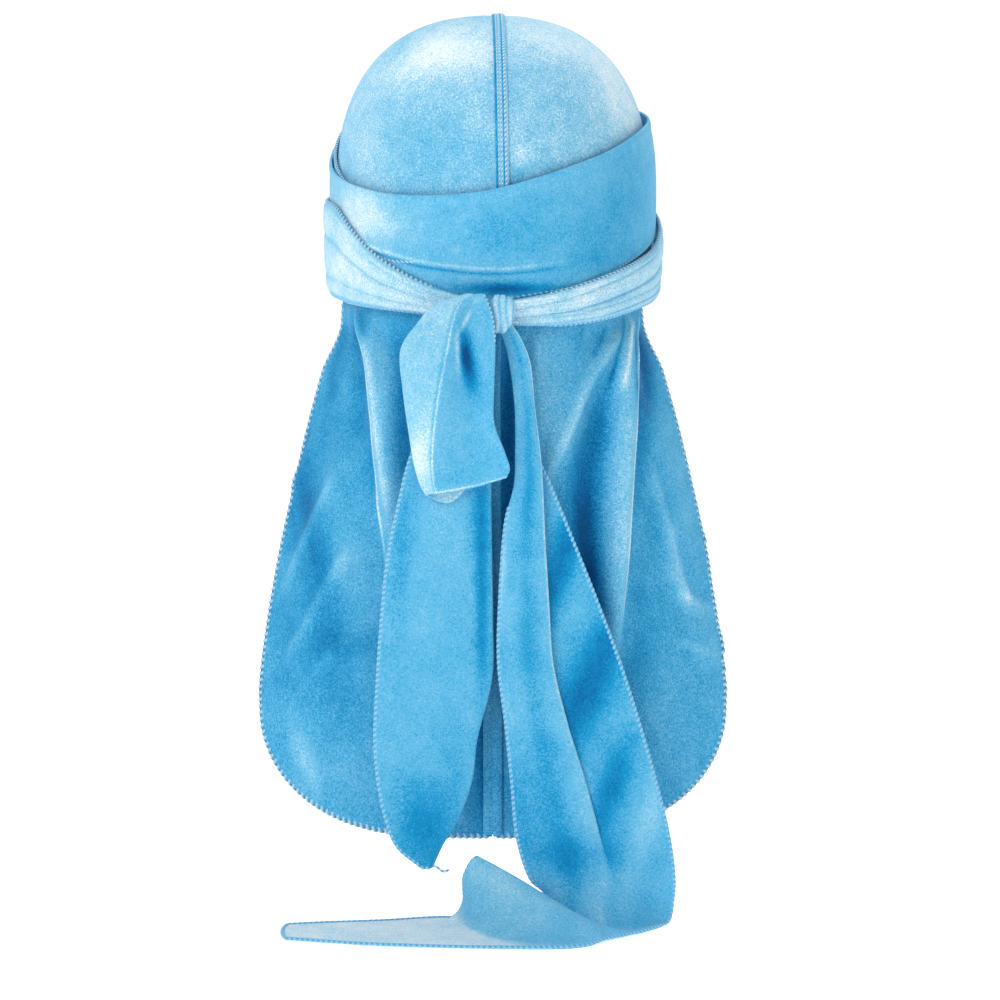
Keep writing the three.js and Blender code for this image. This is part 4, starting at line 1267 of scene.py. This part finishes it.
# %% Loop
LOOP = [
    (0, -0.17, -0.14, -0.11, -0.085, -0.1, 0.3),
    (0.055, -0.342, -0.215, -0.13, -0.06, -0.1, 0.6),
    (0.14, -0.42, -0.247, -0.14, -0.036, -0.11, 0.85),
    (0.26, -0.505, -0.272, -0.148, -0.03, -0.13, 1.0),
    (0.46, -0.495, -0.314, -0.142, -0.036, -0.13, 1.0),
    (0.64, -0.468, -0.341, -0.14, -0.034, -0.13, 0.9),
    (0.8, -0.438, -0.352, -0.135, 0.018, -0.12, 0.7),
    (0.9, -0.405, -0.343, -0.128, 0.045, -0.127, 0.5),
    (0.94, -0.38, -0.33, -0.125, 0.03, -0.13, 0.4),
]
LOOP_END = (0.95, 1.07, 1.03, 1.02, 1.02, 0.985, 0.94)
tail_back = knot_back - CLOTH
tail_front = tail_back - TAIL_FOLD
loop_back = tail_front - CLOTH - HANG_GAP
loop_front = loop_back - LOOP_FOLD


def loop_sections():
    """Seven knots for each row: back, middle of the back, fold, left front, crease, dent, right."""
    rows = []
    for drop, left, crease, dent, right, back, forward in LOOP:
        reach = mix(1.0, np.array(LOOP_END), smooth((drop - 0.4) / 0.5))
        levels = -(KNOT_LEVEL - KNOT_SIZE[2] / 2 + drop * reach * LOOP_LENGTH)
        out = mix(loop_back, loop_front, forward)
        fold = mix(loop_back, out, 0.45)
        shares = [back, mix(left, back, 0.45), left, mix(left, crease, 0.55), crease, dent, right]
        depths = [loop_back, loop_back, fold, mix(fold, out, 0.85), out]
        depths += [mix(loop_back, out, 0.35) - CLOTH, mix(loop_back, out, 0.7)]
        rows.append(section(shares, depths, levels, KNOT_OFFSET))
    return rows


# Painted shade in the dent, and painted highlights on the lips beside it and low on the left.
LOOP_TONES = [
    (-35, -212, 6, 18, -10, 0.16),
    (-17, -227, 14, 4, 10, 0.24),
    (-11.2, -164, 3.4, 13, 8, -0.5),
    (-13.2, -160, 2.2, 9, 4, -0.3),
    (-16.4, -159, 1.1, 9, 2, 0.3),
    (-12.8, -145, 1.1, 6, -28, 0.3),
    (-6.7, -135, 5.6, 3.7, 0, 0.1),
]
loop_u, loop_v = evenly(160), evenly(150)
loop_surface = through_sections(loop_sections(), loop_u, loop_v)
across, down = loop_u[None, :], loop_v[:, None]
# A paler strip between the fold and the crease, and painted highlights along the crease and along the foot
# of the loop.
underside = smooth((across - 0.3) / 0.06) * smooth((0.66 - across) / 0.05)
crease_highlight = 0.24 * bump(across - 0.667, 0.008) * smooth(down * 6)
foot_highlight = 0.22 * bump(down - 0.985, 0.012) * smooth((across - 0.6) / 0.1)
loop_nap_and_shading = 0.6 + 0.16 * underside + crease_highlight + foot_highlight + patches(loop_surface, LOOP_TONES)
loop = make_cloth("half_bow", loop_surface, loop_nap_and_shading)
dress(loop, tie_velvet, "tie_velvet", "bow_loop")
line, out = edge_of(loop_surface, -1, 0.0, 0.35)
loop_hem = sew("half_bow_hem", line, out, cape_thread, "tie_velvet", (0.8, 0.6), 2.2)

# %% [markdown]
# ## The left tail
#
# The left tail hangs straight down in front of the cape and narrows to a point. Its right
# edge is folded under along most of its length, so the edge that shows is a soft round
# fold, and the overlocked hem comes out from under it near the tip.

# %% Left tail
TAIL_HEM = (1.0, 0.75)
FOOT_SAMPLES = 40
LEFT_TAIL = [
    (0, -0.06, 0.005, 0.045, 0.3),
    (0.104, -0.246, -0.018, 0.1, 0.7),
    (0.225, -0.418, -0.013, 0.15, 1.0),
    (0.309, -0.481, -0.013, 0.18, 1.0),
    (0.421, -0.544, -0.008, 0.2, 0.9),
    (0.533, -0.577, -0.003, 0.2, 0.8),
    (0.64, -0.598, -0.006, 0.15, 0.6),
    (0.76, -0.613, -0.087, 0.06, 0.5),
    (0.834, -0.598, -0.113, 0.05, 0.4),
    (0.905, -0.56, -0.18, 0.05, 0.3),
    (0.96, -0.5, -0.27, 0.04, 0.2),
    (1.0, -0.37, -0.32, 0.02, 0.1),
]


def left_tail_sections():
    """Six knots for each row: left hem, bulge, flat, fold, and the strip folded under."""
    rows = []
    for drop, left, right, under, bulge in LEFT_TAIL:
        z = -(TAIL_TOP + drop * LEFT_TAIL_LENGTH)
        bulge_at, flat_at = mix(left, right, 0.35), mix(left, right, 0.7)
        shares = [left, bulge_at, flat_at, right, right - under / 2, right - under]
        depths = [tail_front + 1.2, tail_front + 1.2 - bulge * HANG_GAP, tail_front + 0.6]
        depths += [mix(tail_front, tail_back, 0.5), tail_back, tail_back]
        rows.append(section(shares, depths, z))
    return rows


# Painted shade along the round folded right edge, at the top of the left hem and over the lower part, with
# a faint pale patch in the middle.
LEFT_TAIL_TONES = [
    (-42, -248, 5, 28, -4, -0.14),
    (-19, -243, 12, 16, 0, 0.05),
    (-5.0, -262, 3.2, 60, 0, -0.3),
    (-8, -238, 6, 18, 0, -0.12),
    (-32, -383, 16, 24, 10, -0.24),
    (-18, -352, 9, 28, 0, -0.05),
]
left_surface = through_sections(left_tail_sections(), evenly(80), evenly(240))
left_tail = make_cloth("left_tail", left_surface, 0.6 + patches(left_surface, LEFT_TAIL_TONES))
dress(left_tail, tie_velvet, "tie_velvet", "left_tie_tail")
for edge_name, column, start in (("left", 0, 0.0), ("right", -1, 0.66)):
    line, out = edge_of(left_surface, column, start)
    if edge_name == "left":
        line, out = carry_on(line, out, left_surface[-1, 1:FOOT_SAMPLES])
    hem_name = "left_tail_hem_" + edge_name
    sew(hem_name, line, out, hem_thread, "tie_velvet", TAIL_HEM)
along = evenly(40)
line = left_surface[-1, FOOT_SAMPLES] + along[:, None] * np.array([9.0, -1.0, -1.5])
line[:, 2] += 0.9 * np.sin(along * 7.0)
out = np.tile([0.0, -1.0, 0.2], (len(along), 1))
sew("left_tail_thread_end", line, out, seam_thread, "tie_velvet", (0.55, 0.5))

# %% [markdown]
# ## The right tail
#
# The right tail is longer. It hangs in a loose Z fold, turns on the floor, rises in one
# wave and lies flat to its tip with the velvet up. The hanging part has a front layer from
# its left hem to a ridge, a hidden layer behind the ridge, and a back layer to its right hem.

# %% Right tail
RIGHT_TAIL = [
    (-0.034, 0.0, 0.06, 0.05, 0.02, 0.8),
    (-0.012, 0.03, 0.1, 0.088, 0.025, 0.8),
    (0.008, 0.06, 0.14, 0.12, 0.035, 0.8),
    (0.045, 0.09, 0.187, 0.165, 0.05, 0.9),
    (0.12, 0.12, 0.213, 0.19, 0.06, 1.0),
    (0.2, 0.123, 0.243, 0.225, 0.08, 1.0),
    (0.25, 0.117, 0.255, 0.293, 0.1, 1.0),
    (0.315, 0.07, 0.264, 0.377, 0.12, 1.0),
    (0.45, 0.039, 0.289, 0.545, 0.13, 1.0),
    (0.55, 0.034, 0.311, 0.661, 0.12, 1.0),
    (0.65, 0.07, 0.384, 0.761, 0.09, 0.9),
    (0.75, 0.102, 0.48, 0.851, 0.05, 0.7),
    (0.85, 0.133, 0.56, 0.926, 0.0, 0.5),
    (0.92, 0.205, 0.6, 0.953, -0.06, 0.3),
]
FLOOR_TAIL = [
    ((0.275, 0.0, 0.165), (0.54, 0.07, 0.1), (0.95, -0.05, 0.12)),
    ((0.21, -0.03, 0.05), (0.55, 0.13, 0.025), (0.93, -0.03, 0.02)),
    ((0.1, -0.04, 0.02), (0.44, 0.18, 0.0), (0.82, 0.13, 0.0)),
    ((-0.078, 0.02, 0.36), (0.21, 0.12, 0.21), (0.565, 0.41, 0.01)),
    ((-0.146, 0.03, 0.27), (0.09, 0.23, 0.09), (0.5, 0.49, 0.0)),
    ((-0.155, -0.02, 0.11), (0.0, 0.31, 0.01), (0.4, 0.55, 0.0)),
    ((-0.232, -0.14, 0.0), (-0.12, 0.24, 0.0), (0.01, 0.57, 0.0)),
    ((-0.59, -0.06, 0.0), (-0.59, 0.22, 0.0), (-0.59, 0.5, 0.0)),
    ((-0.9, -0.01, 0.0), (-0.9, 0.2, 0.0), (-0.89, 0.42, 0.0)),
    ((-1.08, 0.03, 0.0), (-1.095, 0.19, 0.0), (-1.07, 0.36, 0.0)),
]
SECTION_PLACES = np.array([0, 0.27, 0.54, 0.66, 0.83, 1.0])[:, None]
HEM_OFF_FLOOR = 1.2


def right_tail_sections():
    """Hanging rows folded in a Z, then floor rows: a curve through a left, middle and right point."""
    rows = []
    for drop, left, ridge, right, tuck, fold in RIGHT_TAIL:
        z = -(TAIL_TOP + drop * TAIL_DROP)
        front = mix(tail_back, tail_front, fold)
        inner = ridge - tuck
        half_front, half_back = mix(left, ridge, 0.5), mix(inner, right, 0.5)
        shares = [left, half_front, ridge, inner, half_back, right]
        bulge, half_depth = front - 0.3 * TAIL_FOLD * fold, mix(tail_back, front, 0.5)
        depths = [front, bulge, front, half_depth, tail_back, tail_back]
        rows.append(section(shares, depths, z))
    t = SECTION_PLACES
    for points in FLOOR_TAIL:
        across, forward, up = np.array(points).T * TIE_WIDTH
        place = np.stack([across, tail_back - forward, up + CLOTH / 2 - FLOOR_LEVEL], axis=-1)
        pull = 2 * place[1] - (place[0] + place[2]) / 2
        rows.append((1 - t) ** 2 * place[0] + 2 * t * (1 - t) * pull + t * t * place[2])
    return rows


right_u, right_v = evenly(100), evenly(430)
right_surface = through_sections(right_tail_sections(), right_u, right_v)
right_surface[..., 2] = np.maximum(right_surface[..., 2], CLOTH / 2 - FLOOR_LEVEL)
# Painted highlights and shade on the front and back layers, and painted shade in the hollow where the tail
# meets the floor.
RIGHT_FRONT_TONES = [
    (3, -258, 3.0, 16, 0, 0.3),
    (16, -220, 4.7, 28, 0, -0.1),
    (17, -370, 13, 28, -12, -0.14),
    (40, -398, 26, 12, -8, -0.2),
]
RIGHT_BACK_TONES = [
    (32, -258, 7, 42, -18, -0.34),
    (46, -315, 11, 44, -24, -0.4),
    (56, -367, 7, 28, -20, -0.3),
    (72, -385, 7, 28, -18, 0.2),
    (40, -398, 26, 12, -8, -0.24),
]
FLOOR_TONES = [
    (3, -409, 12, 7, -30, 0.1),
    (45, -404, 18, 6, 0, -0.2),
]
LIE_SPAN = 0.055
across, down = right_u[None, :], right_v[:, None]
lying = smooth((down - 0.635) / LIE_SPAN)
flat_strip = smooth((down - 0.817) / LIE_SPAN)
behind = smooth((across - 0.46) / 0.08)
# Painted highlight as a thin line on the ridge, broader and softer lower down, and a darker band left of
# it.
ridge_fade = 1 - 0.85 * smooth((down - 0.38) / 0.1)
ridge_shading = 0.26 * bump(across - 0.39, 0.02) * ridge_fade - 0.12 * bump(across - 0.22, 0.07)
ridge_shading = (ridge_shading + 0.1 * (1 - ridge_fade) * bump(across - 0.36, 0.09)) * (1 - lying)
ribs = 0.05 * np.sin(2 * np.pi * 22 * across)
front_tones, back_tones, floor_tones = [
    patches(right_surface, tones) for tones in (RIGHT_FRONT_TONES, RIGHT_BACK_TONES, FLOOR_TONES)
]
# The strip lying flat is painted paler, as light on a face turned up, with fine ribs of the cloth across
# it.
right_nap_and_shading = 0.61 + 0.05 * lying + ridge_shading + flat_strip * (0.3 + ribs)
right_nap_and_shading = right_nap_and_shading + (1 - behind) * (1 - lying) * front_tones
# Painted shade on the hidden back layer behind the ridge.
right_nap_and_shading = right_nap_and_shading + behind * (1 - lying) * (back_tones - 0.04)
right_nap_and_shading = right_nap_and_shading + lying * (1 - flat_strip) * floor_tones
right_tail = make_cloth("right_tail", right_surface, right_nap_and_shading)
dress(right_tail, tie_velvet, "tie_velvet", "right_tie_tail")
for edge_name, column, start in (("left", 0, 0.288), ("right", -1, 0.228)):
    line, out = edge_of(right_surface, column, start)
    if edge_name == "right":
        line, out = carry_on(line, out, right_surface[-1, ::-1][1:])
    line = np.concatenate([line[:, :2], np.maximum(line[:, 2:], HEM_OFF_FLOOR - FLOOR_LEVEL)], axis=1)
    hem_name = "right_tail_hem_" + edge_name
    sew(hem_name, line, out, hem_thread, "tie_velvet", TAIL_HEM)

# %% [markdown]
# ## Floor and light
#
# The floor is a plain pale sweep that glows a little, so that it comes out nearly white and
# the shadows on it stay faint. The world is bright only behind the piece, as the camera sees
# it, which makes the backdrop white, and dim on the other sides, which keeps the velvet
# deep. Very large, soft lights from both sides and from above keep the shadows open, with a
# little more from the upper left, where the cap is palest.

# %% Studio
FLOOR_Z = -FLOOR_LEVEL * MM
FLOOR_HALF = 6.0
FLOOR_GLOW = 0.52
FLOOR_GREYS = (0.92, 0.97)
WHITE = (1.0, 1.0, 1.0, 1.0)

floor_mesh = bpy.data.meshes.new("floor")
corners = [(x * FLOOR_HALF, y * FLOOR_HALF, FLOOR_Z) for x, y in ((-1, -1), (1, -1), (1, 1), (-1, 1))]
floor_mesh.from_pydata(corners, [], [(0, 1, 2, 3)])
floor = bpy.data.objects.new("floor", floor_mesh)
scene.collection.objects.link(floor)
floor_material, tree, shader = new_material("pale_floor")
grain = noise(tree, tree.nodes.new("ShaderNodeTexCoord").outputs["Object"], 6.0, 3.0, 0.55)
paint(tree, shader, grain, [(float(k), (grey, grey, grey, 1.0)) for k, grey in enumerate(FLOOR_GREYS)])
set_inputs(shader, {"Roughness": 0.9, "Emission Color": WHITE, "Emission Strength": FLOOR_GLOW})
floor_mesh.materials.append(floor_material)

world = bpy.data.worlds.new("studio")
scene.world = world
world.use_nodes = True
sky = world.node_tree
background = sky.nodes["Background"]
parts = sky.nodes.new("ShaderNodeSeparateXYZ")
sky.links.new(sky.nodes.new("ShaderNodeTexCoord").outputs["Generated"], parts.inputs[0])
behind_piece = sky.nodes.new("ShaderNodeMapRange")
set_inputs(behind_piece, {"From Min": -0.1, "From Max": 0.6, "To Min": 0.28, "To Max": 1.04})
sky.links.new(parts.outputs["Y"], behind_piece.inputs["Value"])
sky.links.new(behind_piece.outputs[0], background.inputs["Strength"])
set_inputs(background, {"Color": WHITE})


def soft_light(name, place, aim, size, power):
    """Square area light at a place, aimed at a point."""
    lamp = bpy.data.lights.new(name, "AREA")
    lamp.shape = "SQUARE"
    lamp.size = size
    lamp.energy = power
    light = bpy.data.objects.new(name, lamp)
    scene.collection.objects.link(light)
    light.location = place
    way = np.array(aim) - np.array(place)
    flat = np.hypot(way[0], way[1])
    light.rotation_euler = (np.arctan2(flat, -way[2]), 0.0, np.arctan2(-way[0], way[1]))
    return light


AIM = (0.0, -0.05, -0.2)
soft_light("key", (-1.3, -1.9, 1.3), AIM, 1.2, 30.0)
soft_light("fill", (1.9, -1.6, 0.4), AIM, 1.8, 7.0)
soft_light("top", (0.1, 0.2, 1.9), AIM, 1.6, 21.0)
scene.view_settings.view_transform = "Standard"
print("floor at", FLOOR_Z, "m, and three soft lights")
